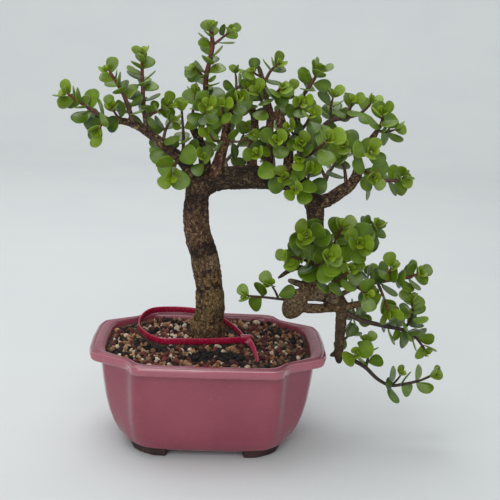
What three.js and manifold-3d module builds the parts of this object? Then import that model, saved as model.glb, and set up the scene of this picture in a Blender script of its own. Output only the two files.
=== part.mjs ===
// Dwarf jade bonsai growing in a glazed pot
// Millimetres, +Z up, standing on the plane z = 0. X runs to the right and Y away from the viewer.
// Places are given from the middle of the pot and from a level a little above the table. The whole is
// then set on that plane, over the middle of its footprint.
import * as THREE from "three";
import { mergeVertices } from "three/addons/utils/BufferGeometryUtils.js";
import Module from "manifold-3d";

const wasm = await Module();
wasm.setup();

// Driving sizes of the pot and what lies in it
const CLEARANCE = 0.3;
const TABLE_HEIGHT = -3;
const RIM_HEIGHT = 80;
const FLOOR_TOP = 10;
const BODY_BOTTOM = 2.8;
const SOIL_BELOW_RIM = 3.8;
const SOIL_INSET = 0.5;
const SOIL_GRAIN_HEIGHT = 0.55;
const SOIL_GRAIN_WAVES = [[1.7, 0.9], [-0.6, 1.3]];
const SOIL_MOUND_HEIGHT = 1.2;
const SOIL_MOUND_REACH = 24;
const DRAIN_RADIUS = 7;
const DRAIN_FROM_MIDDLE = 32;
const SCREEN_SIDE = 25;
const SCREEN_THICKNESS = 1.2;
const SCREEN_HOLE = 7;
const SCREEN_HOLE_FROM_MIDDLE = 5.2;
const FOOT_WIDTH = 9;
const FOOT_INSET = 3;
const FOOT_SUNK = 1;
const FOOT_GAP_FRONT = 58;
const FOOT_GAP_SIDE = 26;
const TAG_HEIGHT = 4.8;
const TAG_THICKNESS = 1.3;
const TAG_HEAD = [8.6, 6, 6.6];

// Facets of the round forms, and how finely routes are followed
const POT_SIDES = 32;
const TRUNK_SIDES = 9;
const LIMB_SIDES = 6;
const TWIG_SIDES = 4;
const DRAIN_SIDES = 12;
const TAG_RING_STEPS = 2;
const WOOD_LENGTHS_PER_SPAN = 6;
const TWIG_LENGTHS_PER_SPAN = 4;
const TANGENT_STEP = 0.01;
const MERGE_DISTANCE = 1e-4;

// Twigs are four-sided, as their leaves stand in crossed pairs, and end in a bud.
// A bend of a bare stretch is left out nearer to the first neck than this many neck heights.
const TWIG_CORNER_REACH = 1.12;
const TWIG_FLAT_REACH = 0.79;
const NECK_HEIGHT = 1.2;
const BEND_FROM_NECK = 2;
const BUD_LENGTH = 1.2;

// A leaf is a fleshy round blade, as a share of its length or in millimetres
const LEAF_WIDTH = 0.86;
const LEAF_BROAD_TIP = 0.35;
const LEAF_THICKEST_AT = 0.55;
const LEAF_CURL = 0.05;
const LEAF_CROWN = 0.4;
const LEAF_BELLY = 0.9;
const LEAF_RIM_AT = [0.19, 0.61, 0.95];

// How leaves sit on a twig: opposite pairs, each pair turned a quarter from the last
const PAIR_SPACING = 0.6;
const FIRST_PAIR_AT = 0.2;
const LAST_PAIR_AT = 0.95;
const LONE_PAIR_AT = 0.88;
const LONE_PAIR_SHARE = 0.6;
const LEAF_RISE = 14;
const LEAF_RISE_AT_TIP = 34;
const RISE_BEND = 1.4;
const TIP_SHRINK = 0.25;
const TURN_SPREAD = 16;
const RISE_SPREAD = 16;
const SIZE_SPREAD = 0.16;
const TWIST_SPREAD = 44;
const UPWARD_LEAN = 0.4;
const OUTWARD_LEAN = 1;
const CROWN_MIDDLE_DEPTH = 18;

// What a leaf tries in turn when it would touch wood or another leaf
const SHRINK_TRIES = [1, 0.88, 0.76, 0.64];
const RISE_TRIES = [0, 14, -14, 28];
const TURN_TRIES = [0, 12, -12, 24, -24];
const ROOM_TO_WOOD = 1.2;
const ROOM_TO_OWN_TWIG = 0.15;
const ROOM_BESIDE_LEAF = 0.8;
const ROOM_OVER_LEAF = 1.9;

// Where a leaf is tested for room: shares of its length, and of its half width there
const TEST_ALONG = [0.19, 0.33, 0.47, 0.61, 0.75, 0.88, 0.98];
const TEST_ACROSS = [-0.92, -0.46, 0, 0.46, 0.92];

// How near two middles have to be before they are tested: share of leaf length, and millimetres
const NEAR_WOOD = [0.62, 1.2];
const NEAR_LEAF = [0.56, 1.5];

// Seeded even draws
const SEED = 7919;
const DRAW_FACTOR = 16807;
const DRAW_LIMIT = 2147483647;

// Colours as seen in daylight
const LOOKS = {
  pot: { color: 0x8a4d5e, roughness: 0.25, metalness: 0 },
  soil: { color: 0x8d7058, roughness: 0.95, metalness: 0 },
  screen: { color: 0x2a2c2a, roughness: 0.6, metalness: 0 },
  bark: { color: 0x54453a, roughness: 0.9, metalness: 0 },
  tag: { color: 0xa3173f, roughness: 0.4, metalness: 0 },
  leaf: { color: 0x5d8424, roughness: 0.4, metalness: 0 },
};

// Pot in horizontal slices, up the outside, over the lip and down the inside to the floor:
// height, half length, half depth, half length of the front panel, half depth of the side panel
const POT_SLICES = [
  [BODY_BOTTOM, 64.5, 46, 48.5, 28.5],
  [6.3, 68.8, 49.5, 50.5, 31],
  [18, 75.8, 54.3, 53, 34],
  [38, 81.3, 58.3, 54.5, 36.5],
  [70.5, 85, 61.2, 55, 39.5],
  [72, 93, 67.8, 55, 43.5],
  [77.5, 94, 68.8, 55, 44],
  [RIM_HEIGHT, 91.8, 66.6, 54, 43],
  [RIM_HEIGHT, 82, 61, 51, 41],
  [74, 80.5, 59.5, 50.5, 40.5],
  [45, 75, 54, 45, 35],
  [17, 66.8, 45.8, 36.8, 26.8],
  [FLOOR_TOP, 61.3, 40.3, 31.3, 21.3],
];
const INSIDE_SLICES = POT_SLICES.slice(-4).reverse();
const SOIL_RINGS = [0.995, 0.8, 0.58, 0.34];

// Wood that carries the crown: route, radius at even steps along it, sides
const WOOD = [
  {
    // trunk, from its root plug in the soil to the first fork
    route: [
      [-3, 14, 45], [-3, 14, 63], [-3, 14, 75], [-1, 14, 92], [0, 13, 108], [-3, 12, 130],
      [-8, 11, 152], [-13, 10, 170], [-14, 10, 187], [-12, 10, 202], [-8, 10, 214],
    ],
    radii: [9.5, 12.5, 15, 12.4, 11.6, 11.4, 10.8, 10.6, 10.4, 10.4, 7.5],
    sides: TRUNK_SIDES,
  },
  {
    // the same stem bent level, then hanging down on the right
    route: [
      [-10, 10, 200], [1, 10, 208], [20, 10, 211], [38, 11, 211], [55, 12, 210], [66, 12, 207], [75, 12, 200],
      [80, 12, 189], [82, 12, 175], [84, 13, 158], [85, 14, 143], [83, 12, 130], [75, 6, 118],
    ],
    radii: [8.5, 9.4, 9.3, 9.1, 8.7, 8.4, 7.8, 7.2, 6.9, 6.7, 6.6, 6.6, 6.8],
    sides: TRUNK_SIDES,
  },
  {
    // left limb
    route: [[-12, 10, 203], [-25, 8, 222], [-37, 6, 232], [-51, 4, 243], [-66, 2, 251], [-83, 0, 253]],
    radii: [5.4, 2.3],
  },
  {
    // dark limb behind the left fork
    route: [[-6, 10, 208], [-9, 12, 226], [-14, 13, 240], [-21, 14, 252]],
    radii: [5, 3],
  },
  {
    // red limb at the left fork
    route: [[-1, 8, 208], [4, 0, 229], [7, -4, 243], [8, -4, 255], [11, 0, 267], [14, 3, 277]],
    radii: [5.2, 1.8],
  },
  {
    // grey limb
    route: [[29, 12, 210], [29, 15, 232], [30, 16, 249], [29, 16, 260], [26, 17, 268]],
    radii: [4.6, 2.4],
  },
  {
    // middle limb
    route: [[42, 10, 211], [41, 6, 234], [41, 4, 251], [41, 3, 263], [37, 2, 274]],
    radii: [4.2, 2.5],
  },
  {
    // limb that was cut off short
    route: [[56, 10, 210], [57, 4, 230], [52, 0, 249], [45, -2, 266]],
    radii: [4, 4.2],
  },
  {
    // tall limb on the right
    route: [[66, 13, 205], [68, 17, 227], [64, 18, 249], [63, 18, 268], [68, 16, 277]],
    radii: [4, 2.1],
  },
  {
    // right limb
    route: [
      [78, 12, 192], [91, 10, 196], [100, 8, 203], [107, 6, 209], [111, 4, 217],
      [112, 3, 226], [110, 2, 236], [119, 0, 245], [125, -2, 256],
    ],
    radii: [6, 2.2],
  },
  {
    // upper bar of the low cascade
    route: [[76, 10, 120], [89, 10, 120], [101, 8, 117], [109, 6, 113]],
    radii: [4.4, 4.2],
  },
  {
    // slim grey bar over it
    route: [[62, 8, 129], [72, 8, 126], [87, 7, 123], [101, 7, 120]],
    radii: [2.6, 3.2],
  },
  {
    // middle bar, close over the lower one
    route: [[70, 6, 118], [86, 8, 116], [104, 7, 113.5]],
    radii: [5, 3.3],
  },
  {
    // lower bar
    route: [[73, 3, 107], [89, 4, 107], [106, 5, 108], [117, 4, 111], [128, 4, 114]],
    radii: [4.2, 2.6],
  },
  {
    // dark dead stub behind the cascade
    route: [[82, 12, 131], [72, 10, 139], [63, 8, 137], [54, 8, 130]],
    radii: [3, 1.8],
  },
  {
    // thick limb hanging straight down to its cut end
    route: [[108, 6, 115], [107, 5, 99], [107, 4, 80], [107, 4, 68], [108, 4, 60]],
    radii: [5.2, 4.6, 4, 3.9, 2.6],
  },
  {
    // nub beside the cut end
    route: [[107, 4, 68], [103, 4, 68], [100, 4, 66]],
    radii: [2.6, 1.9],
  },
];

// Healed pruning knob at the end of the hanging stem
const KNOB_CENTRE = [68, 3, 111];
const KNOB_HALF_SIZES = [8.6, 7.4, 12.4];
const KNOB_TILT = 24;
const KNOB_FACETS = [9, 6];

// Plastic tag: a strap on its edge in a loose ring round the trunk, with its tail to the front
const TAG_HEAD_CENTRE = [29.6, -1.5, 80.8];
const TAG_RING = [
  [29, -1, 80.5], [20, 25, 81.2], [3, 50, 82.8], [-14, 61, 83], [-34, 63, 83], [-51, 57, 82.9],
  [-58.5, 39, 81.6], [-57, 15, 80.3], [-41, -9, 80.2], [-18, -10, 80.2], [8, -7, 80.2], [29, -2, 80.5],
];
const TAG_TAIL = [[30, -2, 80.5], [33.5, -10, 80.2], [36, -27, 80], [38, -49, 80]];

// Leafy stems. Each is a list of twigs, the first rooted in the wood and the others in the first:
// route, radius at foot and tip, leaf pairs, leaf length, turn of the first pair in degrees
const SPRAYS = {
  left_tip: [
    {
      route: [[-82, 0, 253], [-96, -3, 261], [-112, -8, 272]],
      radii: [2.2, 1.2], pairs: 4, leaf: 16, roll: 35,
    },
    {
      route: [[-85, -1, 255], [-86, -9, 250], [-88, -18, 246]],
      radii: [1.4, 1], pairs: 2, leaf: 16, roll: 10,
    },
    {
      route: [[-72, 1, 252], [-76, -6, 258], [-78, -13, 264]],
      radii: [1.4, 1], pairs: 2, leaf: 13.5, roll: 40,
    },
  ],
  left_red: [
    {
      route: [[-63, 2, 250], [-70, -2, 271], [-81, -6, 290]],
      radii: [2.4, 1.3], pairs: 4, leaf: 15, roll: 30,
    },
  ],
  left_fork: [
    { route: [[-51, 4, 243], [-54, 4, 250], [-56, 5, 262]], radii: [2.8, 2], pairs: 0 },
    {
      route: [[-56, 5, 261], [-57, 5, 280], [-58, 4, 303]],
      radii: [2.3, 1.3], pairs: 5, leaf: 14, roll: 55,
    },
    {
      route: [[-56, 5, 256], [-46, 2, 260], [-37, -1, 266]],
      radii: [1.5, 1], pairs: 3, leaf: 14, roll: 60,
    },
  ],
  left_stack: [
    {
      route: [[-41, 6, 235], [-39, 4, 246], [-35, 2, 254]],
      radii: [1.7, 1.1], pairs: 3, leaf: 15, roll: 40,
    },
  ],
  left_mid: [
    {
      route: [[-26, 8, 223], [-25, 6, 239], [-27, 3, 264]],
      radii: [1.9, 1.1], pairs: 4, leaf: 14.5, roll: 10,
    },
  ],
  left_front: [
    {
      route: [[-27, 7, 225], [-31, -10, 221], [-32, -25, 216]],
      radii: [1.9, 1.2], pairs: 3, leaf: 17.5, roll: 40,
    },
  ],
  left_small: [
    {
      route: [[-7, 10, 219], [-9, -2, 224], [-9, -12, 229]],
      radii: [1.3, 1], pairs: 2, leaf: 12.5, roll: 50,
    },
  ],
  left_back: [
    {
      route: [[-54, 4, 245], [-56, 24, 248], [-57, 40, 256]],
      radii: [1.7, 1], pairs: 3, leaf: 13.5, roll: 10,
    },
  ],
  left_back_low: [
    {
      route: [[-38, 6, 234], [-40, 26, 228], [-46, 44, 227]],
      radii: [1.7, 1], pairs: 3, leaf: 13.5, roll: 50,
    },
  ],
  top_shoot: [
    {
      route: [[-14, 13, 240], [-10, 12, 256], [-9, 8, 271], [-9, 5, 288], [-5, 3, 310], [-7, 1, 325]],
      radii: [3.2, 1.8], pairs: 6, leaf: 14, roll: 30,
    },
    {
      route: [[-4, 3, 312], [3, 1, 318], [8, -3, 322]],
      radii: [1.3, 0.9], pairs: 2, leaf: 12.5, roll: 80,
    },
    {
      route: [[-9, 5, 286], [-14, 3, 291], [-17, 1, 294]],
      radii: [1.3, 0.9], pairs: 2, leaf: 13, roll: 20,
    },
    {
      route: [[-10, 12, 256], [-8, -8, 262], [-7, -26, 269]],
      radii: [1.7, 1.1], pairs: 3, leaf: 14, roll: 30,
    },
  ],
  crown_left_high: [
    {
      route: [[-20, 14, 251], [-18, 8, 264], [-16, 0, 276]],
      radii: [1.7, 1.1], pairs: 3, leaf: 14.5, roll: 30,
    },
  ],
  crown_front: [
    {
      route: [[8, -4, 254], [5, -14, 262], [4, -24, 270]],
      radii: [1.7, 1.1], pairs: 3, leaf: 13.5, roll: 0,
    },
  ],
  crown_centre: [
    {
      route: [[10, 0, 264], [13, -12, 270], [15, -22, 275]],
      radii: [1.7, 1.1], pairs: 3, leaf: 14.5, roll: 30,
    },
  ],
  crown_dark: [
    {
      route: [[9, 0, 261], [16, 8, 261], [22, 12, 264]],
      radii: [1.7, 1.1], pairs: 2, leaf: 15, roll: 10,
    },
  ],
  crown_low_left: [
    {
      route: [[5, -3, 241], [-1, -8, 241], [-5, -12, 247]],
      radii: [1.3, 0.9], pairs: 2, leaf: 13, roll: 60,
    },
  ],
  crown_low_right: [
    {
      route: [[8, -4, 241], [18, -6, 241], [26, -10, 245]],
      radii: [1.3, 0.9], pairs: 2, leaf: 13, roll: 20,
    },
  ],
  crown_top: [
    {
      route: [[14, 3, 276], [14, 3, 285], [13, 2, 292]],
      radii: [1.4, 1], pairs: 2, leaf: 11, roll: 20,
    },
    {
      route: [[15, 3, 280], [19, 10, 285], [22, 15, 290]],
      radii: [1.3, 1], pairs: 2, leaf: 12, roll: 60,
    },
  ],
  grey_tip: [
    {
      route: [[26, 17, 267], [24, 12, 274], [22, 6, 281]],
      radii: [1.9, 1.2], pairs: 3, leaf: 16, roll: 30,
    },
  ],
  grey_back: [
    {
      route: [[29, 16, 256], [25, 34, 263], [21, 48, 271]],
      radii: [1.7, 1], pairs: 3, leaf: 14, roll: 10,
    },
  ],
  red_fork: [
    { route: [[38, 2, 272], [35, 1, 284], [30, -1, 298]], radii: [2.5, 2.3], pairs: 0 },
    {
      route: [[35, 1, 285], [39, -1, 294], [44, -3, 300]],
      radii: [1.7, 1], pairs: 3, leaf: 13, roll: 40,
    },
    {
      route: [[32, 0, 290], [28, -3, 292], [26, -6, 294]],
      radii: [1.2, 0.9], pairs: 1, leaf: 11, roll: 0,
    },
    {
      route: [[37, 2, 276], [43, -6, 278], [47, -12, 283]],
      radii: [1.7, 1.1], pairs: 3, leaf: 15.5, roll: 10,
    },
  ],
  mid_left: [
    {
      route: [[40, 3, 262], [34, -2, 271], [30, -8, 279]],
      radii: [1.7, 1.1], pairs: 3, leaf: 15, roll: 60,
    },
  ],
  centre_rosette: [
    {
      route: [[41, 5, 236], [43, -10, 240], [45, -24, 245]],
      radii: [1.7, 1.1], pairs: 3, leaf: 14.5, roll: 40,
    },
  ],
  centre_low: [
    {
      route: [[41, 7, 226], [36, -6, 229], [31, -16, 233]],
      radii: [1.7, 1.1], pairs: 2, leaf: 15.5, roll: 20,
    },
  ],
  right_shoot: [
    {
      route: [[67, 16, 277], [73, 14, 287], [78, 12, 297]],
      radii: [2.1, 1.2], pairs: 4, leaf: 14, roll: 0,
    },
  ],
  tall_front: [
    {
      route: [[64, 18, 265], [60, 12, 273], [56, 6, 280]],
      radii: [1.7, 1], pairs: 3, leaf: 13.5, roll: 50,
    },
    {
      route: [[63, 17, 266], [63, 0, 268], [63, -14, 273]],
      radii: [1.7, 1.1], pairs: 3, leaf: 14, roll: 10,
    },
  ],
  tall_yellow: [
    {
      route: [[65, 17, 246], [68, -4, 256], [70, -20, 265]],
      radii: [1.7, 1.1], pairs: 3, leaf: 13.5, roll: 30,
    },
  ],
  tall_inner: [
    {
      route: [[65, 17, 240], [60, 0, 247], [55, -12, 253]],
      radii: [1.7, 1.1], pairs: 3, leaf: 14.5, roll: 50,
    },
  ],
  bright_rosette: [
    {
      route: [[69, 16, 226], [76, -10, 237], [83, -28, 248]],
      radii: [2, 1.2], pairs: 3, leaf: 19, roll: 15,
    },
  ],
  tall_low: [
    {
      route: [[67, 16, 231], [66, -4, 237], [64, -18, 243]],
      radii: [1.8, 1.1], pairs: 3, leaf: 15, roll: 60,
    },
    {
      route: [[66, 2, 236], [66, -6, 232], [64, -14, 231]],
      radii: [1.5, 1.1], pairs: 2, leaf: 16, roll: 0,
    },
  ],
  side_limb: [
    {
      route: [[67, 17, 235], [80, 14, 249], [89, 12, 258], [100, 10, 261], [112, 8, 265]],
      radii: [3.2, 2.1], pairs: 0,
    },
    {
      route: [[89, 12, 258], [88, 10, 268], [89, 7, 277]],
      radii: [1.5, 1], pairs: 3, leaf: 14.5, roll: 40,
    },
    {
      route: [[100, 10, 261], [102, 5, 267], [103, 0, 274]],
      radii: [1.5, 1], pairs: 3, leaf: 14, roll: 10,
    },
    {
      route: [[111, 8, 265], [115, 5, 269], [118, 2, 274]],
      radii: [1.5, 1], pairs: 2, leaf: 13, roll: 30,
    },
    {
      route: [[89, 12, 257], [93, 28, 260], [96, 42, 262]],
      radii: [1.7, 1], pairs: 3, leaf: 14, roll: 0,
    },
  ],
  right_top: [
    {
      route: [[125, -2, 255], [126, -5, 261], [125, -11, 267]],
      radii: [1.8, 1.1], pairs: 3, leaf: 16, roll: 30,
    },
  ],
  right_end: [
    {
      route: [[124, -2, 253], [131, -4, 253], [137, -5, 255]],
      radii: [1.6, 1], pairs: 3, leaf: 13.5, roll: 50,
    },
  ],
  right_front: [
    {
      route: [[111, 2, 233], [115, -8, 235], [117, -18, 239]],
      radii: [1.7, 1.1], pairs: 3, leaf: 16, roll: 70,
    },
  ],
  right_inner: [
    {
      route: [[110, 2, 234], [101, -8, 239], [96, -18, 243]],
      radii: [1.7, 1.1], pairs: 3, leaf: 16, roll: 20,
    },
  ],
  right_low: [
    {
      route: [[112, 3, 224], [118, -6, 221], [121, -16, 219]],
      radii: [1.7, 1.1], pairs: 3, leaf: 15.5, roll: 50,
    },
  ],
  right_arm: [
    {
      route: [[111, 4, 215], [123, 3, 213], [133, 2, 214], [142, 0, 215], [148, -3, 218]],
      radii: [2.8, 1.2], pairs: 4, leaf: 14, roll: 20,
    },
  ],
  right_twig: [
    {
      route: [[104, 7, 206], [102, 6, 219], [98, 0, 229]],
      radii: [1.9, 1.4], pairs: 2, leaf: 14, roll: 20,
    },
  ],
  junction_left: [
    {
      route: [[60, 10, 209], [56, -4, 213], [53, -14, 216]],
      radii: [1.7, 1.1], pairs: 2, leaf: 15, roll: 30,
    },
  ],
  junction_right: [
    {
      route: [[72, 10, 203], [72, -6, 214], [72, -16, 222]],
      radii: [1.7, 1.1], pairs: 3, leaf: 16.5, roll: 0,
    },
  ],
  junction_low: [
    {
      route: [[68, 10, 204], [64, -8, 207], [61, -20, 208]],
      radii: [1.7, 1.1], pairs: 2, leaf: 14, roll: 45,
    },
  ],
  back_left: [
    { route: [[11, 12, 210], [9, 34, 214], [5, 50, 227]], radii: [4, 2.2], pairs: 0 },
    {
      route: [[5, 49, 225], [1, 58, 235], [-2, 64, 248]],
      radii: [1.8, 1.1], pairs: 3, leaf: 14.5, roll: 0,
    },
    {
      route: [[8, 41, 218], [17, 52, 228], [23, 58, 240]],
      radii: [1.8, 1.1], pairs: 3, leaf: 14.5, roll: 40,
    },
  ],
  back_mid: [
    { route: [[45, 12, 210], [47, 36, 217], [46, 52, 230]], radii: [4, 2.2], pairs: 0 },
    {
      route: [[46, 51, 229], [50, 58, 242], [54, 60, 256]],
      radii: [1.8, 1.1], pairs: 3, leaf: 14.5, roll: 20,
    },
    {
      route: [[46, 43, 222], [36, 54, 231], [30, 60, 243]],
      radii: [1.8, 1.1], pairs: 3, leaf: 14.5, roll: 60,
    },
  ],
  back_right: [
    { route: [[77, 14, 196], [88, 34, 202], [95, 48, 214]], radii: [3.8, 2.2], pairs: 0 },
    {
      route: [[95, 47, 212], [102, 54, 223], [107, 58, 236]],
      radii: [1.8, 1.1], pairs: 3, leaf: 14.5, roll: 30,
    },
    {
      route: [[92, 41, 206], [86, 50, 220], [82, 55, 234]],
      radii: [1.8, 1.1], pairs: 3, leaf: 14.5, roll: 0,
    },
  ],
  cascade_left: [
    {
      route: [[83, 13, 163], [76, -8, 169], [72, -20, 173]],
      radii: [1.9, 1.2], pairs: 3, leaf: 19, roll: 30,
    },
  ],
  cascade_front: [
    {
      route: [[85, 13, 139], [87, -5, 148], [90, -18, 156]],
      radii: [1.9, 1.2], pairs: 3, leaf: 18, roll: 40,
    },
    {
      route: [[86, 5, 143], [73, -3, 149], [60, -8, 153]],
      radii: [1.7, 1.1], pairs: 4, leaf: 15.5, roll: 10,
    },
  ],
  cascade_arm: [
    { route: [[85, 14, 147], [97, 14, 152], [108, 13, 159], [117, 11, 164]], radii: [3, 2], pairs: 0 },
    {
      route: [[96, 14, 152], [99, 8, 164], [102, 2, 176]],
      radii: [1.7, 1.1], pairs: 3, leaf: 16.5, roll: 20,
    },
    {
      route: [[111, 12, 161], [114, -4, 164], [114, -14, 167]],
      radii: [1.9, 1.2], pairs: 3, leaf: 18, roll: 0,
    },
    {
      route: [[116, 11, 164], [125, 10, 170], [131, 8, 177]],
      radii: [1.6, 1], pairs: 3, leaf: 15, roll: 20,
    },
    {
      route: [[108, 13, 158], [115, 30, 156], [124, 44, 156]],
      radii: [1.6, 1], pairs: 3, leaf: 14.5, roll: 30,
    },
  ],
  cascade_low: [
    {
      route: [[92, 10, 121], [102, -2, 134], [109, -13, 145]],
      radii: [1.9, 1.2], pairs: 3, leaf: 17, roll: 30,
    },
  ],
  cascade_back: [
    {
      route: [[85, 15, 148], [90, 34, 150], [95, 48, 154]],
      radii: [1.8, 1], pairs: 4, leaf: 15, roll: 0,
    },
  ],
  red_arm: [
    {
      route: [[104, 8, 117], [117, 4, 126], [128, 2, 130], [140, 1, 133], [151, 0, 135], [160, -4, 139], [165, -8, 143]],
      radii: [2.8, 1.1], pairs: 4, leaf: 16, roll: 60,
    },
    {
      route: [[139, 1, 133], [141, -3, 140], [142, -8, 147]],
      radii: [1.4, 1], pairs: 2, leaf: 15.5, roll: 30,
    },
    {
      route: [[125, 3, 128], [130, 16, 129], [135, 28, 131]],
      radii: [1.4, 1], pairs: 3, leaf: 13.5, roll: 0,
    },
    {
      route: [[134, 2, 131], [138, -8, 122], [142, -14, 112]],
      radii: [1.6, 1], pairs: 3, leaf: 17.5, roll: 20,
    },
    {
      route: [[118, 4, 126], [121, -6, 126], [123, -14, 126]],
      radii: [1.4, 1], pairs: 1, leaf: 16, roll: 10,
    },
  ],
  slope_limb: [
    {
      route: [[108, 6, 105], [122, 3, 99], [135, 2, 96], [147, 1, 94], [159, 0, 92], [167, -3, 88], [176, -6, 78]],
      radii: [3.2, 1.1], pairs: 4, leaf: 16.5, roll: 30,
    },
    {
      route: [[158, 0, 92], [163, -4, 105], [161, -7, 120]],
      radii: [1.5, 1], pairs: 4, leaf: 15, roll: 45,
    },
    {
      route: [[116, 5, 101], [122, 24, 95], [128, 38, 94]],
      radii: [1.7, 1], pairs: 3, leaf: 14.5, roll: 30,
    },
  ],
  low_limb: [
    {
      route: [[108, 4, 67], [121, 2, 63], [130, 1, 58], [140, 0, 49], [151, -1, 44], [162, -2, 46], [175, -3, 50], [186, -5, 57]],
      radii: [2.7, 1.1], pairs: 4, leaf: 16, roll: 40,
    },
    {
      route: [[152, -1, 44], [155, -6, 51], [157, -10, 57]],
      radii: [1.3, 0.9], pairs: 2, leaf: 12, roll: 20,
    },
    {
      route: [[118, 3, 64], [118, -6, 70], [118, -14, 75]],
      radii: [1.4, 1], pairs: 1, leaf: 17.5, roll: 30,
    },
    {
      route: [[130, 1, 58], [131, 1, 70], [129, 0, 82]],
      radii: [1.6, 1], pairs: 3, leaf: 13.5, roll: 20,
    },
  ],
  low_back: [
    {
      route: [[108, 5, 78], [115, 22, 76], [122, 36, 77]],
      radii: [1.7, 1], pairs: 2, leaf: 14, roll: 30,
    },
  ],
  bar_left: [
    {
      route: [[74, 5, 112], [46, 3, 115], [29, 0, 117]],
      radii: [1.7, 1], pairs: 2, leaf: 14.5, roll: 60,
    },
    {
      route: [[55, 4, 114], [52, 0, 121], [48, -4, 128]],
      radii: [1.3, 1], pairs: 2, leaf: 16, roll: 20,
    },
  ],
};

const radians = THREE.MathUtils.degToRad;

// Closed solid of a three.js geometry
function solid(geometry) {
  geometry.deleteAttribute("normal");
  geometry.deleteAttribute("uv");
  const merged = mergeVertices(geometry, MERGE_DISTANCE);
  const vertProperties = new Float32Array(merged.attributes.position.array);
  const triVerts = new Uint32Array(merged.index.array);
  return new wasm.Manifold(new wasm.Mesh({ numProp: 3, vertProperties, triVerts }));
}

// Fuses solids, fills what the fusing seals and drops loose scraps
function fuse(solids) {
  const joined = solids.reduce((whole, piece) => whole.add(piece));
  return largest(joined);
}

function largest(body) {
  const pieces = body.decompose();
  return pieces.reduce((best, piece) => (piece.volume() > best.volume() ? piece : best));
}

// Named mesh of a solid or of a plain geometry
function part(name, shape, look) {
  let geometry = shape;
  if (!shape.isBufferGeometry) {
    const { vertProperties, triVerts } = shape.getMesh();
    geometry = new THREE.BufferGeometry();
    geometry.setAttribute("position", new THREE.BufferAttribute(vertProperties, 3));
    geometry.setIndex(new THREE.BufferAttribute(triVerts, 1));
    geometry.computeVertexNormals();
  }
  const mesh = new THREE.Mesh(geometry, new THREE.MeshStandardMaterial(look));
  mesh.name = name;
  return mesh;
}

// Stack of rings closed at both ends: place(t, x, z) puts the point of the unit circle of step t
function loft(sides, steps, place) {
  const geometry = new THREE.CylinderGeometry(1, 1, 1, sides, steps);
  const position = geometry.attributes.position;
  for (let i = 0; i < position.count; i += 1) {
    const point = place(position.getY(i) + 0.5, position.getX(i), position.getZ(i));
    position.setXYZ(i, point.x, point.y, point.z);
  }
  return solid(geometry);
}

function curveThrough(route) {
  const points = route.map((point) => new THREE.Vector3(...point));
  return new THREE.CatmullRomCurve3(points, false, "catmullrom", 0.5);
}

// World axis that a route runs least along, from which turns about the route are counted
function referenceOf(route) {
  const run = new THREE.Vector3(...route.at(-1)).sub(new THREE.Vector3(...route[0]));
  const sizes = run.toArray().map(Math.abs);
  return new THREE.Vector3().setComponent(sizes.indexOf(Math.min(...sizes)), 1);
}

// Point of a route, its direction there and two directions square to it
function frameAt(curve, t, reference) {
  const point = curve.getPoint(t);
  const ahead = curve.getPoint(Math.min(1, t + TANGENT_STEP));
  const behind = curve.getPoint(Math.max(0, t - TANGENT_STEP));
  const tangent = ahead.sub(behind).normalize();
  const normal = reference.clone().addScaledVector(tangent, -reference.dot(tangent)).normalize();
  const side = tangent.clone().cross(normal);
  return { point, tangent, normal, side };
}

// Value at t between 0 and 1 of a list given at even steps
function valueAt(list, t) {
  const place = t * (list.length - 1);
  const step = Math.min(Math.floor(place), list.length - 2);
  return list[step] + (list[step + 1] - list[step]) * (place - step);
}

// Round tapering stem along a route, which may be grown by a margin all over
function stem({ route, radii, sides = LIMB_SIDES, stepsPerSpan = 1 }, margin = 0) {
  const curve = curveThrough(route);
  const reference = referenceOf(route);
  const growth = margin / Math.cos(Math.PI / sides);
  return loft(sides, stepsPerSpan * (route.length - 1), (t, x, z) => {
    const { point, tangent, normal, side } = frameAt(curve, t, reference);
    const radius = valueAt(radii, t) + growth;
    const overshoot = t === 0 ? -margin : t === 1 ? margin : 0;
    point.addScaledVector(tangent, overshoot);
    return point.addScaledVector(normal, radius * z).addScaledVector(side, radius * x);
  });
}

// Flat band on its edge along a route
function band(route, stepsPerSpan) {
  const curve = curveThrough(route);
  const upright = new THREE.Vector3(0, 0, 1);
  return loft(4, stepsPerSpan * (route.length - 1), (t, x, z) => {
    const { point, normal, side } = frameAt(curve, t, upright);
    point.addScaledVector(normal, ((z + x) * TAG_HEIGHT) / 2);
    return point.addScaledVector(side, ((x - z) * TAG_THICKNESS) / 2);
  });
}

// Pot outline at one height, from the middle of the right side round to the middle of the front:
// a bowed side panel, its rounded end, a notched corner, the front panel's rounded end and its bow
function outline(halfLength, halfDepth, frontPanel, sidePanel) {
  const quarter = [
    [halfLength, 0],
    [halfLength - 0.9, sidePanel * 0.6],
    [halfLength - 3.6, sidePanel * 0.86],
    [frontPanel + 9, sidePanel + 7.5],
    [frontPanel + 5.5, sidePanel + 11],
    [frontPanel + 1.5, halfDepth - 4],
    [frontPanel - 4, halfDepth - 1],
    [frontPanel * 0.45, halfDepth - 0.2],
    [0, halfDepth],
  ];
  const half = [...quarter, ...quarter.slice(0, -1).reverse().map(([x, y]) => [-x, y])];
  return [...half, ...half.slice(1, -1).reverse().map(([x, y]) => [x, -y])];
}

// Stack of outlines: each level has a height, an outline and the share of it that is reached
function moulding(levels, relief = () => 0) {
  return loft(POT_SIDES, levels.length - 1, (t, x, z) => {
    const level = levels[Math.round(t * (levels.length - 1))];
    const turn = Math.atan2(x, z) / (2 * Math.PI);
    const corner = (Math.round(turn * POT_SIDES) + POT_SIDES) % POT_SIDES;
    const reach = level.reach * Math.hypot(x, z);
    const [px, py] = level.outline[corner].map((value) => value * reach);
    return new THREE.Vector3(px, py, level.height + (level.soft ? relief(px, py) : 0));
  });
}

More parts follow.
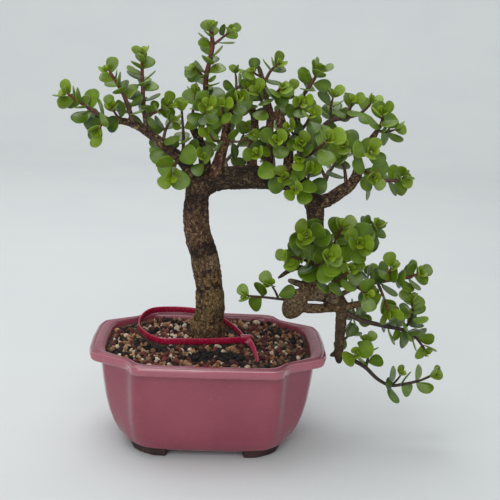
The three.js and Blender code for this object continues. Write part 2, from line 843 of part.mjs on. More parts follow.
// Fired pot: body, four corner feet and two drain holes
function pot() {
  const levels = POT_SLICES.map(([height, ...sizes]) => ({ height, outline: outline(...sizes), reach: 1 }));
  const body = moulding(levels);
  const feetSizes = POT_SLICES[0].slice(1).map((size) => size - FOOT_INSET);
  const ring = prism(outline(...feetSizes), BODY_BOTTOM + FOOT_SUNK);
  const hollow = prism(outline(...feetSizes.map((size) => size - FOOT_WIDTH)), RIM_HEIGHT);
  const [halfLength, halfDepth] = feetSizes;
  const gapFront = solid(new THREE.BoxGeometry(FOOT_GAP_FRONT, 4 * halfDepth, RIM_HEIGHT));
  const gapSide = solid(new THREE.BoxGeometry(4 * halfLength, FOOT_GAP_SIDE, RIM_HEIGHT));
  const feet = ring.subtract(hollow).subtract(gapFront).subtract(gapSide);
  const drains = [-1, 1].map((end) => {
    const drain = new THREE.CylinderGeometry(DRAIN_RADIUS, DRAIN_RADIUS, RIM_HEIGHT, DRAIN_SIDES);
    return solid(drain.rotateX(Math.PI / 2).translate(end * DRAIN_FROM_MIDDLE, 0, 0));
  });
  return largest(body.add(feet).subtract(drains[0]).subtract(drains[1]));
}

// Upright block of an outline, from the table up to a height
function prism(corners, top) {
  const shape = new THREE.Shape(corners.map(([x, y]) => new THREE.Vector2(x, y)));
  const block = new THREE.ExtrudeGeometry(shape, { depth: top - TABLE_HEIGHT, bevelEnabled: false });
  return solid(block.translate(0, 0, TABLE_HEIGHT));
}

// Lowest and highest grains of the soil's top, with a mound where the trunk stands
function soilRelief(x, y) {
  const [first, second] = SOIL_GRAIN_WAVES.map(([acrossX, acrossY]) => acrossX * x + acrossY * y);
  const grain = Math.sin(first) * Math.cos(second);
  const [trunkX, trunkY] = WOOD[0].route[0];
  const fromTrunk = Math.hypot(x - trunkX, y - trunkY) / SOIL_MOUND_REACH;
  return SOIL_GRAIN_HEIGHT * grain + SOIL_MOUND_HEIGHT * Math.exp(-fromTrunk * fromTrunk);
}

// Potting soil, which fills the pot and has a plain hole for the trunk and a pocket over each screen
function soil() {
  const inset = ([, ...sizes]) => outline(...sizes.map((size) => size - SOIL_INSET));
  const walls = INSIDE_SLICES.map((slice) => ({ height: slice[0], outline: inset(slice), reach: 1 }));
  walls[0].height += CLEARANCE;
  const brim = INSIDE_SLICES.at(-1);
  const top = SOIL_RINGS.map((reach) => {
    return { height: RIM_HEIGHT - SOIL_BELOW_RIM, outline: inset(brim), reach, soft: true };
  });
  const body = moulding([...walls, ...top], soilRelief);
  const pockets = [-1, 1].map((end) => {
    const side = SCREEN_SIDE + 4 * CLEARANCE;
    const pocket = new THREE.BoxGeometry(side, side, 2 * (SCREEN_THICKNESS + 2 * CLEARANCE));
    return solid(pocket.translate(end * DRAIN_FROM_MIDDLE, 0, FLOOR_TOP));
  });
  return largest(body.subtract(stem(WOOD[0], CLEARANCE)).subtract(pockets[0]).subtract(pockets[1]));
}

// Plastic screen over a drain hole, with four square openings
function screen() {
  const block = (side, height, x, y) => solid(new THREE.BoxGeometry(side, side, height).translate(x, y, 0));
  const places = [-SCREEN_HOLE_FROM_MIDDLE, SCREEN_HOLE_FROM_MIDDLE];
  const openings = places.flatMap((x) => places.map((y) => block(SCREEN_HOLE, 2 * SCREEN_THICKNESS, x, y)));
  const plate = block(SCREEN_SIDE, SCREEN_THICKNESS, 0, 0);
  return openings.reduce((rest, opening) => rest.subtract(opening), plate);
}

// Healed knob: a flattened ball, tilted in the plane of the picture
function knob(margin = 0) {
  const ball = new THREE.SphereGeometry(1, ...KNOB_FACETS);
  ball.rotateX(Math.PI / 2);
  ball.scale(...KNOB_HALF_SIZES.map((size) => size + margin));
  ball.rotateY(radians(KNOB_TILT));
  ball.translate(...KNOB_CENTRE);
  return solid(ball);
}

// All the wood as one body, which may be grown by a margin
function wood(margin = 0) {
  return fuse([...WOOD.map((limb) => stem(limb, margin)), knob(margin)]);
}

// Ring of the tag with its locking head and tail, one moulding
function tag() {
  const head = solid(new THREE.BoxGeometry(...TAG_HEAD).translate(...TAG_HEAD_CENTRE));
  return fuse([band(TAG_RING, TAG_RING_STEPS), band(TAG_TAIL, 1), head]);
}

// Even random numbers from 0 to 1, the same on every run
function seededDraw() {
  let state = SEED;
  return () => {
    state = (state * DRAW_FACTOR) % DRAW_LIMIT;
    return state / DRAW_LIMIT;
  };
}

// Short straight lengths that stand for a stem when leaves keep clear of it
function lengthsOf({ route, radii }, perSpan, owner) {
  const curve = curveThrough(route);
  const count = perSpan * (route.length - 1);
  return Array.from({ length: count }, (_, i) => {
    const start = curve.getPoint(i / count);
    const run = curve.getPoint((i + 1) / count).sub(start);
    return { start, run, radius: valueAt(radii, i / count), owner };
  });
}

// Half width of a leaf at a share of its length, as a share of its length
function halfWidth(along) {
  const c = 2 * along - 1;
  return (Math.sqrt(Math.max(0, 1 - c * c)) * (1 + LEAF_BROAD_TIP * c) * LEAF_WIDTH) / 2;
}

// Points of a blade that are tested for room: share along it and to its side
const BLADE_POINTS = TEST_ALONG.flatMap((along) => {
  return TEST_ACROSS.map((across) => [along, across * halfWidth(along)]);
});

function bladePoint(leaf, [along, across]) {
  const point = leaf.root.clone().addScaledVector(leaf.axis, leaf.length * along);
  return point.addScaledVector(leaf.across, leaf.length * across);
}

// True where a point of one leaf lies within another leaf's room
function within(point, leaf) {
  const offset = point.clone().sub(leaf.root);
  const along = offset.dot(leaf.axis) / leaf.length;
  const across = offset.dot(leaf.across) / leaf.length;
  const room = ROOM_BESIDE_LEAF / leaf.length;
  const ellipse = ((along - 0.5) / (0.5 + room)) ** 2 + (across / (LEAF_WIDTH / 2 + room)) ** 2;
  return ellipse < 1 && Math.abs(offset.dot(leaf.face)) < ROOM_OVER_LEAF;
}

function reachesInto(leaf, other) {
  return BLADE_POINTS.some((spot) => within(bladePoint(leaf, spot), other));
}

function distanceTo(point, { start, run }) {
  const offset = point.clone().sub(start);
  const share = THREE.MathUtils.clamp(offset.dot(run) / run.lengthSq(), 0, 1);
  return offset.addScaledVector(run, -share).length();
}

// True where a leaf keeps clear of the wood, of all twigs and of the leaves grown before it
function hasRoom(leaf, lengths, leaves) {
  const centre = bladePoint(leaf, [0.5, 0]);
  const points = BLADE_POINTS.map((spot) => bladePoint(leaf, spot));
  const blocked = lengths.some((length) => {
    if (distanceTo(centre, length) > length.radius + NEAR_WOOD[0] * leaf.length + NEAR_WOOD[1]) {
      return false;
    }
    const room = length.radius + (length.owner === leaf.owner ? ROOM_TO_OWN_TWIG : ROOM_TO_WOOD);
    return points.some((point) => distanceTo(point, length) < room);
  });
  return !blocked && !leaves.some((other) => {
    const apart = bladePoint(other, [0.5, 0]).distanceTo(centre);
    const isNear = apart < NEAR_LEAF[0] * (other.length + leaf.length) + NEAR_LEAF[1];
    return isNear && (reachesInto(leaf, other) || reachesInto(other, leaf));
  });
}

// Direction square to a route, at a turn about it
function directionAt({ normal, side }, turn) {
  return normal.clone().multiplyScalar(Math.cos(turn)).addScaledVector(side, Math.sin(turn));
}

// Leaf whose root stands at a flat of its twig, turned about the twig and raised towards its tip
function leafAt(frame, root, turn, rise, length, twist) {
  const axis = directionAt(frame, turn).multiplyScalar(Math.cos(rise));
  axis.addScaledVector(frame.tangent, Math.sin(rise));
  const squareTo = (vector) => vector.addScaledVector(axis, -vector.dot(axis));
  const face = squareTo(frame.tangent.clone()).normalize();
  const outward = root.y < CROWN_MIDDLE_DEPTH ? -OUTWARD_LEAN : OUTWARD_LEAN;
  face.add(squareTo(new THREE.Vector3(0, outward, UPWARD_LEAN))).normalize().applyAxisAngle(axis, twist);
  return { root, axis, face, across: face.clone().cross(axis), length };
}

// Length of a route along its straight spans
function runOf(route) {
  return route.slice(1).reduce((sum, point, i) => {
    return sum + Math.hypot(...point.map((value, axis) => value - route[i][axis]));
  }, 0);
}

// Where along a twig its pairs of leaves stand
function pairPlaces({ route, pairs, leaf }) {
  if (pairs === 1) {
    return [LONE_PAIR_AT];
  }
  const first = Math.max(FIRST_PAIR_AT, 1 - (pairs * PAIR_SPACING * leaf) / runOf(route));
  return Array.from({ length: pairs }, (_, pair) => first + ((LAST_PAIR_AT - first) * pair) / (pairs - 1));
}

// Leaves of one twig, each in the first of its tries that has room
function growLeaves(twig, owner, draw, lengths, leaves) {
  const { route, radii, pairs, leaf: size, roll } = twig;
  const curve = curveThrough(route);
  const reference = referenceOf(route);
  pairPlaces(twig).forEach((t, pair) => {
    const share = pairs > 1 ? pair / (pairs - 1) : LONE_PAIR_SHARE;
    const frame = frameAt(curve, t, reference);
    for (const half of [0, 1]) {
      const [turnDraw, riseDraw, sizeDraw, twistDraw] = Array.from({ length: 4 }, () => draw() - 0.5);
      const flat = roll + 90 * pair + 180 * half;
      const rise = LEAF_RISE + LEAF_RISE_AT_TIP * share ** RISE_BEND + RISE_SPREAD * riseDraw;
      const length = size * (1 - TIP_SHRINK * share * share) * (1 + SIZE_SPREAD * sizeDraw);
      const twist = radians(TWIST_SPREAD * twistDraw);
      const depth = TWIG_FLAT_REACH * valueAt(radii, t);
      const root = frame.point.clone().addScaledVector(directionAt(frame, radians(flat)), depth);
      const tries = SHRINK_TRIES.flatMap((shrink) => RISE_TRIES.flatMap((lift) => TURN_TRIES.map((shift) => {
        return [radians(flat + TURN_SPREAD * turnDraw + shift), radians(rise + lift), length * shrink, twist];
      })));
      const facet = (pair + 2 * half) % TWIG_SIDES;
      for (const values of tries) {
        const leaf = { ...leafAt(frame, root, ...values), owner, pair, facet };
        if (hasRoom(leaf, lengths, leaves)) {
          leaves.push(leaf);
          break;
        }
      }
    }
  });
}

// All leaves of the plant, in the order in which the twigs are listed
function growCrown() {
  const draw = seededDraw();
  const leaves = [];
  const lengths = WOOD.flatMap((limb) => lengthsOf(limb, WOOD_LENGTHS_PER_SPAN, "wood"));
  const twigs = Object.entries(SPRAYS).flatMap(([name, list]) => {
    return list.map((twig, i) => ({ twig, owner: name + i }));
  });
  for (const { twig, owner } of twigs) {
    lengths.push(...lengthsOf(twig, TWIG_LENGTHS_PER_SPAN, owner));
  }
  for (const { twig, owner } of twigs.filter(({ twig: { pairs } }) => pairs > 0)) {
    growLeaves(twig, owner, draw, lengths, leaves);
  }
  return leaves;
}

// Corners of a blade's rim from its root end to its tip: share along it, and half width
const RIM = LEAF_RIM_AT.map((along) => [along, halfWidth(along)]);

// Steps along a twig at which it has a ring of corners, with the pair of leaves that starts there
function ringsOf(twig) {
  const { route, pairs } = twig;
  const spans = route.length - 1;
  const bends = Array.from({ length: spans - 1 }, (_, i) => (i + 1) / spans);
  if (pairs === 0) {
    return [0, ...bends, 1].map((t) => ({ t }));
  }
  const reach = NECK_HEIGHT / 2 / runOf(route);
  const places = pairPlaces(twig);
  const bare = bends.filter((t) => t < places[0] - 2 * BEND_FROM_NECK * reach);
  const bands = places.flatMap((t, pair) => [{ t: t - reach, pair }, { t: Math.min(1, t + reach) }]);
  return [{ t: 0 }, ...bare.map((t) => ({ t })), ...bands];
}

// Twig with its leaves drawn out of its flats as one skin
function twigBody(twig, leaves) {
  const curve = curveThrough(twig.route);
  const reference = referenceOf(twig.route);
  const points = [];
  const faces = [];
  const add = (point) => points.push(point) - 1;
  const rings = ringsOf(twig).map(({ t, pair }) => {
    const frame = frameAt(curve, t, reference);
    const radius = TWIG_CORNER_REACH * valueAt(twig.radii, t);
    const corners = [0, 1, 2, 3].map((corner) => {
      const turn = radians((twig.roll ?? 0) + 90 * (corner + 0.5));
      return add(frame.point.clone().addScaledVector(directionAt(frame, turn), radius));
    });
    return { ...frame, radius, corners, pair };
  });
  for (let i = 0; i + 1 < rings.length; i += 1) {
    for (let flat = 0; flat < TWIG_SIDES; flat += 1) {
      const [low, high] = [rings[i].corners, rings[i + 1].corners];
      const before = (flat + TWIG_SIDES - 1) % TWIG_SIDES;
      const neck = { low: [low[before], low[flat]], high: [high[before], high[flat]] };
      const leaf = leaves.find(({ pair, facet }) => pair === rings[i].pair && facet === flat);
      if (leaf) {
        faces.push(...bladeFaces(leaf, neck, add));
      } else {
        faces.push([neck.low[0], neck.low[1], neck.high[1]], [neck.low[0], neck.high[1], neck.high[0]]);
      }
    }
  }
  const foot = rings[0].corners;
  faces.push([foot[0], foot[2], foot[1]], [foot[0], foot[3], foot[2]]);
  const end = rings.at(-1);
  const bud = add(end.point.clone().addScaledVector(end.tangent, BUD_LENGTH * end.radius));
  end.corners.forEach((corner, i) => faces.push([corner, end.corners[(i + 1) % TWIG_SIDES], bud]));
  const geometry = new THREE.BufferGeometry().setFromPoints(points);
  geometry.setIndex(faces.flat());
  return solid(geometry);
}

// Blade on its neck: a rim of six corners between a crown and a belly point
function bladeFaces({ root, axis, face, across, length }, neck, add) {
  const at = (along, side, height) => {
    const point = root.clone().addScaledVector(axis, length * along).addScaledVector(face, height);
    return add(point.addScaledVector(across, length * side));
  };
  const curl = (along) => LEAF_CURL * length * along * along;
  const right = RIM.map(([along, side]) => at(along, side, curl(along)));
  const left = RIM.map(([along, side]) => at(along, -side, curl(along)));
  const crown = at(LEAF_THICKEST_AT, 0, LEAF_CROWN);
  const belly = at(LEAF_THICKEST_AT, 0, -LEAF_BELLY);
  const rim = [...left, ...right.reverse()];
  const top = [neck.high[1], neck.high[0], ...rim];
  const under = [neck.low[1], neck.low[0], ...rim];
  return [
    ...top.map((corner, i) => [crown, corner, top[(i + 1) % top.length]]),
    ...under.map((corner, i) => [belly, under[(i + 1) % under.length], corner]),
    [neck.high[1], rim.at(-1), neck.low[1]],
    [rim[0], neck.high[0], neck.low[0]],
  ];
}

// One leafy stem, its foot shaped to the wood that it grows from
function spray(name, leaves, woodWithRoom) {
  const twigs = SPRAYS[name].map((twig, i) => {
    return twigBody(twig, leaves.filter(({ owner }) => owner === name + i));
  });
  return largest(fuse(twigs).subtract(woodWithRoom));
}

const potted = new THREE.Group();
potted.add(part("pot", pot(), LOOKS.pot));
potted.add(part("soil", soil(), LOOKS.soil));
for (const [name, end] of [["drain_screen_left", -1], ["drain_screen_right", 1]]) {
  const plate = part(name, screen(), LOOKS.screen);
  plate.position.set(end * DRAIN_FROM_MIDDLE, 0, FLOOR_TOP + CLEARANCE + SCREEN_THICKNESS / 2);
  potted.add(plate);
}
potted.add(part("plant_tag", tag(), LOOKS.tag));

const plant = new THREE.Group();
plant.add(part("trunk_and_limbs", wood(), LOOKS.bark));
const woodWithRoom = wood(CLEARANCE);
const leaves = growCrown();
for (const name of Object.keys(SPRAYS)) {
  plant.add(part(`spray_${name}`, spray(name, leaves, woodWithRoom), LOOKS.leaf));
}

const bonsai = new THREE.Group();
bonsai.add(potted, plant);
const middle = new THREE.Box3().setFromObject(bonsai).getCenter(new THREE.Vector3());
bonsai.position.set(-middle.x, -middle.y, -TABLE_HEIGHT);

export default bonsai;
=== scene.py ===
import bpy
import numpy as np
from mathutils import Matrix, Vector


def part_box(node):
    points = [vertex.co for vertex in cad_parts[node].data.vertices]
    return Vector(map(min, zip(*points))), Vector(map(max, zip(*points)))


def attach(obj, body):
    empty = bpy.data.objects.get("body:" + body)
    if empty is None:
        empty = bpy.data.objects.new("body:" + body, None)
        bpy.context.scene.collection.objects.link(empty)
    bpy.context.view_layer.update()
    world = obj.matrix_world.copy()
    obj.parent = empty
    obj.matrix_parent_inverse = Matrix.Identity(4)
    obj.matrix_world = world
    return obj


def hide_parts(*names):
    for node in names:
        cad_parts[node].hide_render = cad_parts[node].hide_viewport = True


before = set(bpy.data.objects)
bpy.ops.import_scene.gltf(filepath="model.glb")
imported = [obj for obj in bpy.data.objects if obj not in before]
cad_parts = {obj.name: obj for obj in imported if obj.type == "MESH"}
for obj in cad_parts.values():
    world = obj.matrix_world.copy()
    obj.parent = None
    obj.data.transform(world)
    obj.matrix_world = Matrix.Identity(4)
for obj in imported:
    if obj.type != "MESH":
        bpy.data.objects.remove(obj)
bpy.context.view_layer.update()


# The bench
# A pale card sweep stands all round the plant. Three soft lamps, at the ceiling, at a window and over
# the front, are aimed at the plant, and a fourth at the card behind it. A long lens looks slightly
# down, a little turned and tilted.
MM = 0.001
pot_low, pot_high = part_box("pot")
TABLE_HEIGHT = -3.0
POT_MIDDLE = np.array([
    (pot_low.x + pot_high.x) / 2,
    (pot_low.y + pot_high.y) / 2,
    pot_low.z - TABLE_HEIGHT * MM,
])
CAMERA_DISTANCE = 700.0
CAMERA_PITCH = np.radians(14.0)
CAMERA_YAW = np.radians(-2.3)
CAMERA_ROLL = np.radians(-2.59)
CAMERA_AIM = np.array([30.0, 0.0, 154.8])
CAMERA_ANGLE = np.radians(31.6)
LAMP_AIM = (10.0, 0.0, 130.0)
SWEEP_RADIUS = 1500.0
SWEEP_RISE = 900.0
SWEEP_COLUMNS = 96
SWEEP_ROWS = 24


def in_frame(points):
    """Place in the frame of a place on the bench: millimetres made metres, plus the pot's middle."""
    return np.asarray(points, float) * MM + POT_MIDDLE


def unit(vectors):
    """Vectors divided by their own lengths."""
    return vectors / np.linalg.norm(vectors, axis=-1, keepdims=True)


def aim(thing, place, toward, roll=0.0):
    """Sets an object at a place and turns its -Z axis to a point. Right is square to the line of sight
    and level, up is square to both, and both are then turned by the roll."""
    back = unit(np.asarray(place, float) - toward)
    right = unit(np.cross((0.0, 0.0, 1.0), back))
    up = np.cross(back, right)
    cosine, sine = np.cos(roll), np.sin(roll)
    columns = np.eye(4)
    columns[:3, 0] = cosine * right - sine * up
    columns[:3, 1] = sine * right + cosine * up
    columns[:3, 2] = back
    columns[:3, 3] = place
    thing.matrix_world = Matrix(columns.tolist())


def put_out(name, data):
    """Object that shows a mesh, a lamp or a camera in the scene."""
    thing = bpy.data.objects.new(name, data)
    bpy.context.scene.collection.objects.link(thing)
    return thing


def soft_lamp(name, place, width, height, watts, toward=LAMP_AIM):
    """Lamp of a width and a height in metres, aimed at the middle of the plant or at another place."""
    lamp = bpy.data.lights.new(name, "AREA")
    lamp.shape = "RECTANGLE"
    lamp.size = width
    lamp.size_y = height
    lamp.energy = watts
    aim(put_out(name, lamp), in_frame(place), in_frame(toward))


def paint(red, green, blue):
    """Colour of a surface in linear light, from the 0 to 255 that a screen shows."""
    shown = np.array([red, green, blue]) / 255
    linear = np.where(shown > 0.04045, ((shown + 0.055) / 1.055) ** 2.4, shown / 12.92)
    return (*linear.tolist(), 1.0)


def feed(tree, node, inputs):
    """Gives inputs of a node, by name or number, a value each or the output of another node."""
    for name, value in inputs.items():
        if isinstance(value, bpy.types.NodeSocket):
            tree.links.new(value, node.inputs[name])
        else:
            node.inputs[name].default_value = value


def add_node(tree, kind, inputs=None, **settings):
    """New shader node with its settings and inputs."""
    node = tree.nodes.new(kind)
    for name, value in settings.items():
        setattr(node, name, value)
    feed(tree, node, inputs or {})
    return node


def blend_of(tree, share, first, second):
    """Colour between two colours, by a share from 0 to 1."""
    node = add_node(tree, "ShaderNodeMix", {0: share, 6: first, 7: second}, data_type="RGBA")
    return node.outputs[2]


def span_of(tree, value, low, high, to_low=0.0, to_high=1.0):
    """Value carried from one span to another and kept inside it."""
    spans = {"Value": value, "From Min": low, "From Max": high, "To Min": to_low, "To Max": to_high}
    return add_node(tree, "ShaderNodeMapRange", spans).outputs["Result"]


def new_finish(name):
    """Material with a Principled shader. Gives the material, its tree and the shader."""
    material = bpy.data.materials.new(name)
    material.use_nodes = True
    return material, material.node_tree, material.node_tree.nodes["Principled BSDF"]


def object_place(tree):
    """Place on the piece, in metres of the frame."""
    return add_node(tree, "ShaderNodeTexCoord").outputs["Object"]


def mottle_group():
    """Node group: soft spots from noise, as a mask between a low and a high noise value."""
    group = bpy.data.node_groups.new("mottle", "ShaderNodeTree")
    sockets = group.interface
    sockets.new_socket("Place", in_out="INPUT", socket_type="NodeSocketVector")
    for name, value in (("Scale", 500.0), ("Detail", 3.0), ("Low", 0.4), ("High", 0.6)):
        sockets.new_socket(name, in_out="INPUT", socket_type="NodeSocketFloat").default_value = value
    sockets.new_socket("Mask", in_out="OUTPUT", socket_type="NodeSocketFloat")
    given = group.nodes.new("NodeGroupInput").outputs
    spots = {"Vector": given["Place"], "Scale": given["Scale"], "Detail": given["Detail"]}
    noise = add_node(group, "ShaderNodeTexNoise", spots).outputs["Fac"]
    mask = span_of(group, noise, given["Low"], given["High"])
    add_node(group, "NodeGroupOutput", {"Mask": mask})
    return group


MOTTLE = mottle_group()


def mottle(tree, place, scale, low=0.4, high=0.6, detail=3.0):
    """Mask of soft spots, where scale is spots in a metre."""
    values = {"Place": place, "Scale": scale, "Detail": detail, "Low": low, "High": high}
    return add_node(tree, "ShaderNodeGroup", values, node_tree=MOTTLE).outputs["Mask"]


def turns(count):
    """Angles at even steps round a circle."""
    return np.linspace(0, 2 * np.pi, count, endpoint=False)


def ring_faces(rows, columns):
    """Quads of a grid whose rows are closed rings. The rings run anticlockwise seen from the last."""
    index = np.arange(rows * columns).reshape(rows, columns)
    low, high = index[:-1], index[1:]
    return np.stack([low, np.roll(low, -1, 1), np.roll(high, -1, 1), high], -1).reshape(-1, 4)


def new_piece(name, points, faces, finishes, smooth=True):
    """Piece of the given millimetre points and faces, with its materials."""
    mesh = bpy.data.meshes.new(name)
    mesh.from_pydata(in_frame(points).tolist(), [], faces)
    mesh.polygons.foreach_set("use_smooth", [smooth] * len(mesh.polygons))
    for finish in finishes:
        mesh.materials.append(finish)
    return put_out(name, mesh)


def sweep_finish():
    """Pale matt card."""
    material, tree, shader = new_finish("sweep_card")
    grain = mottle(tree, object_place(tree), 6.0, 0.3, 0.7)
    tone = blend_of(tree, grain, paint(212, 215, 216), paint(215, 218, 218))
    feed(tree, shader, {"Base Color": tone, "Roughness": 0.9, "Specular IOR Level": 0.1})
    return material


def sweep_grid():
    """A level disc whose edge turns up in a quarter of a circle."""
    floor = np.linspace(0.02, 1.0, SWEEP_ROWS) * SWEEP_RADIUS
    bend = np.linspace(0.0, np.pi / 2, SWEEP_ROWS)[1:]
    reach = np.concatenate([floor, SWEEP_RADIUS + SWEEP_RISE * np.sin(bend)])[:, None]
    height = TABLE_HEIGHT + np.concatenate([0 * floor, SWEEP_RISE * (1 - np.cos(bend))])[:, None]
    turn = turns(SWEEP_COLUMNS)
    return np.stack(np.broadcast_arrays(reach * np.cos(turn), reach * np.sin(turn), height), -1)


sweep = sweep_grid()
sweep_quads = ring_faces(len(sweep), SWEEP_COLUMNS)[:, ::-1].tolist()
sweep_middle = list(range(SWEEP_COLUMNS))
floor = new_piece("floor", sweep.reshape(-1, 3), sweep_quads + [sweep_middle], [sweep_finish()])

soft_lamp("ceiling_lamp", (-450.0, 50.0, 1700.0), 1.2, 1.2, 12.0)
soft_lamp("window_lamp", (-600.0, -1500.0, 700.0), 1.2, 1.2, 9.5)
soft_lamp("small_lamp", (150.0, -1200.0, 1100.0), 0.9, 0.45, 3.0)
soft_lamp("wall_lamp", (0.0, 900.0, 2100.0), 1.4, 1.4, 15.0, (0.0, 2300.0, 500.0))
room = bpy.data.worlds.new("room")
room.use_nodes = True
daylight = {"Color": paint(238, 243, 245), "Strength": 0.5}
feed(room.node_tree, room.node_tree.nodes["Background"], daylight)
bpy.context.scene.world = room
bpy.context.scene.view_settings.view_transform = "Standard"

camera = put_out("camera", bpy.data.cameras.new("camera"))
camera.data.angle = CAMERA_ANGLE
sight = np.array([
    np.sin(CAMERA_YAW) * np.cos(CAMERA_PITCH),
    -np.cos(CAMERA_YAW) * np.cos(CAMERA_PITCH),
    np.sin(CAMERA_PITCH),
])
aim(camera, in_frame(CAMERA_AIM + CAMERA_DISTANCE * sight), in_frame(CAMERA_AIM), CAMERA_ROLL)
bpy.context.scene.camera = camera


# The pot
# One slip-cast body with a rolled lip, bowed panels and notched corners, glazed in a mauve that runs
# thin and brown on its sharp edges. The lip is painted paler as painted light, with a painted highlight
# along its outer edge. Each level is a height, a half length and half depth, the half length of the
# front panel and the half depth of the side panel.
POT_LEVELS = np.array([
    [2.8, 62.5, 44.0, 47.5, 27.5],
    [3.1, 64.7, 46.2, 48.6, 28.6],
    [4.4, 66.9, 48.0, 49.6, 29.8],
    [6.3, 68.9, 49.6, 50.5, 31.0],
    [11.5, 72.7, 52.3, 51.9, 32.7],
    [18.0, 75.9, 54.4, 53.0, 34.0],
    [27.0, 78.9, 56.6, 53.9, 35.3],
    [38.0, 81.4, 58.4, 54.5, 36.5],
    [54.0, 83.5, 60.1, 54.8, 38.1],
    [69.0, 84.9, 61.1, 55.0, 39.4],
    [70.6, 85.4, 61.6, 55.0, 39.9],
    [71.2, 89.0, 64.6, 55.0, 41.8],
    [71.9, 92.5, 67.3, 55.0, 43.3],
    [73.8, 93.7, 68.5, 55.0, 43.9],
    [77.0, 94.0, 68.8, 55.0, 44.0],
    [79.0, 93.2, 68.0, 54.7, 43.7],
    [80.0, 91.7, 66.6, 54.1, 43.1],
    [79.9, 90.9, 66.0, 53.9, 42.9],
    [79.2, 90.3, 65.6, 53.7, 42.8],
    [79.8, 89.7, 65.2, 53.5, 42.7],
    [80.0, 88.4, 64.4, 53.1, 42.4],
    [79.8, 84.0, 62.2, 51.8, 41.6],
    [79.1, 82.2, 61.1, 51.2, 41.1],
    [77.4, 81.3, 60.3, 50.9, 40.8],
    [74.0, 80.5, 59.5, 50.5, 40.5],
    [45.0, 75.0, 54.0, 45.0, 35.0],
    [17.0, 66.8, 45.8, 36.8, 26.8],
    [11.5, 62.9, 41.9, 32.9, 22.9],
    [10.0, 60.5, 39.5, 30.5, 20.5],
])
POT_ROWS = (2, 2, 5, 7, 5, 6, 6, 7, 7, 2, 2, 2, 2, 2, 2, 2, 2, 2, 2, 2, 3, 2, 2, 3, 9, 8, 3, 2)
QUARTER_COLUMNS = (14, 7, 12, 4, 6, 4, 13, 12)
DISC_SHARES = (0.3, 0.6, 0.9)
OUTSIDE_LEVELS = 9
THIN_GLAZE_LEVELS = (15.6, 17.9, 21.6)
THIN_GLAZE_SPREAD = 0.55
LIP_LOWEST_LEVEL = 11.2
LIP_INNER_LEVEL = 17.2
# Painted light: the lip is painted paler where it catches the light, and a narrow band along its outer
# edge is a painted highlight.
LIP_LIGHT = 0.6
LIP_EDGE_HIGHLIGHT = 0.4
LIP_EDGE_LEVEL = 14.95
LIP_EDGE_SPREAD = 0.3
ARC_DEPTH = 2.6
ARC_WIDTH = 0.7
ARC_LOW = 2.6
ARC_RISE = 4.4
FOOT_GAP_FRONT = 29.0
FOOT_GAP_SIDE = 13.0
FOOT_CORNER_X = 54.0
FOOT_CORNER_Y = 34.0
DRAIN_RADIUS = 7.0
DRAIN_FROM_MIDDLE = 32.0
DRAIN_COLUMNS = 32
DRILL_ENDS = (-1.0, 14.0)
WAVER_HEIGHT = 0.14
WAVER_SIZE = 17


def corners_of(half_length, half_depth, front_panel, side_panel):
    """Corners of a quarter of the pot's outline: bowed side, its round end, the notch, the front."""
    return np.array([
        [half_length, 0.0],
        [half_length - 0.9, side_panel * 0.6],
        [half_length - 3.6, side_panel * 0.86],
        [front_panel + 9.0, side_panel + 7.5],
        [front_panel + 5.5, side_panel + 11.0],
        [front_panel + 1.5, half_depth - 4.0],
        [front_panel - 4.0, half_depth - 1.0],
        [front_panel * 0.45, half_depth - 0.2],
        [0.0, half_depth],
    ])


def quarter_of(sizes):
    """Points of a quarter outline, at even steps along each straight between its corners."""
    stops = np.concatenate([[0], np.cumsum(QUARTER_COLUMNS)])
    places = np.arange(stops[-1] + 1)
    corners = corners_of(*sizes)
    return np.stack([np.interp(places, stops, corners[:, axis]) for axis in (0, 1)], -1)


def eased(ring):
    """Running mean round a ring over five neighbours, weighted 1, 2, 3, 2, 1."""
    return sum(weight * np.roll(ring, 2 - k, 0) for k, weight in enumerate((1, 2, 3, 2, 1))) / 9


def outline_of(sizes):
    """Ring round the pot: a quarter and its mirror images, its corners eased by a running mean."""
    quarter = quarter_of(sizes)
    ring = np.concatenate([
        quarter[:-1],
        quarter[:0:-1] * (-1, 1),
        quarter[:-1] * (-1, -1),
        quarter[:0:-1] * (1, -1),
    ])
    return eased(ring)


def bell(values, middle, width):
    """Bell-shaped share: one at the middle and about a third a width away from it."""
    return np.exp(-(((values - middle) / width) ** 2))


def lattice_noise(points, seed):
    """Smooth noise from -1 to 1: a random value at each whole-number corner, eased within a cell."""
    cell = np.floor(points).astype(np.int64)
    ease = points - cell
    ease = ease * ease * (3 - 2 * ease)
    total = np.zeros(points.shape[:-1])
    for corner in np.ndindex(2, 2, 2):
        x, y, z = np.moveaxis(cell + corner, -1, 0)
        mixed = (x * 73856093) ^ (y * 19349663) ^ (z * 83492791) ^ (seed * 15485863)
        mixed = ((mixed ^ (mixed >> 13)) * 1274126177) & 0x7FFFFFFF
        mixed = mixed ^ (mixed >> 16)
        value = (mixed & 0xFFFF) / 32767.5 - 1
        total += value * np.prod(np.where(corner, ease, 1 - ease), axis=-1)
    return total


def foot_arc(places, outward):
    """Height up to which a corner foot shows at a place of the outline, and 1 over a foot or 0 beside it.
    The line rises from the end of a foot to the corner of the pot."""
    front = (np.abs(places[..., 0]) - FOOT_GAP_FRONT) / (FOOT_CORNER_X - FOOT_GAP_FRONT)
    side = (np.abs(places[..., 1]) - FOOT_GAP_SIDE) / (FOOT_CORNER_Y - FOOT_GAP_SIDE)
    share = np.where(np.abs(outward[..., 1]) > np.abs(outward[..., 0]), front, side)
    return ARC_LOW + ARC_RISE * np.clip(share, 0, 1) ** 0.7, np.clip(share * 12, 0, 1)


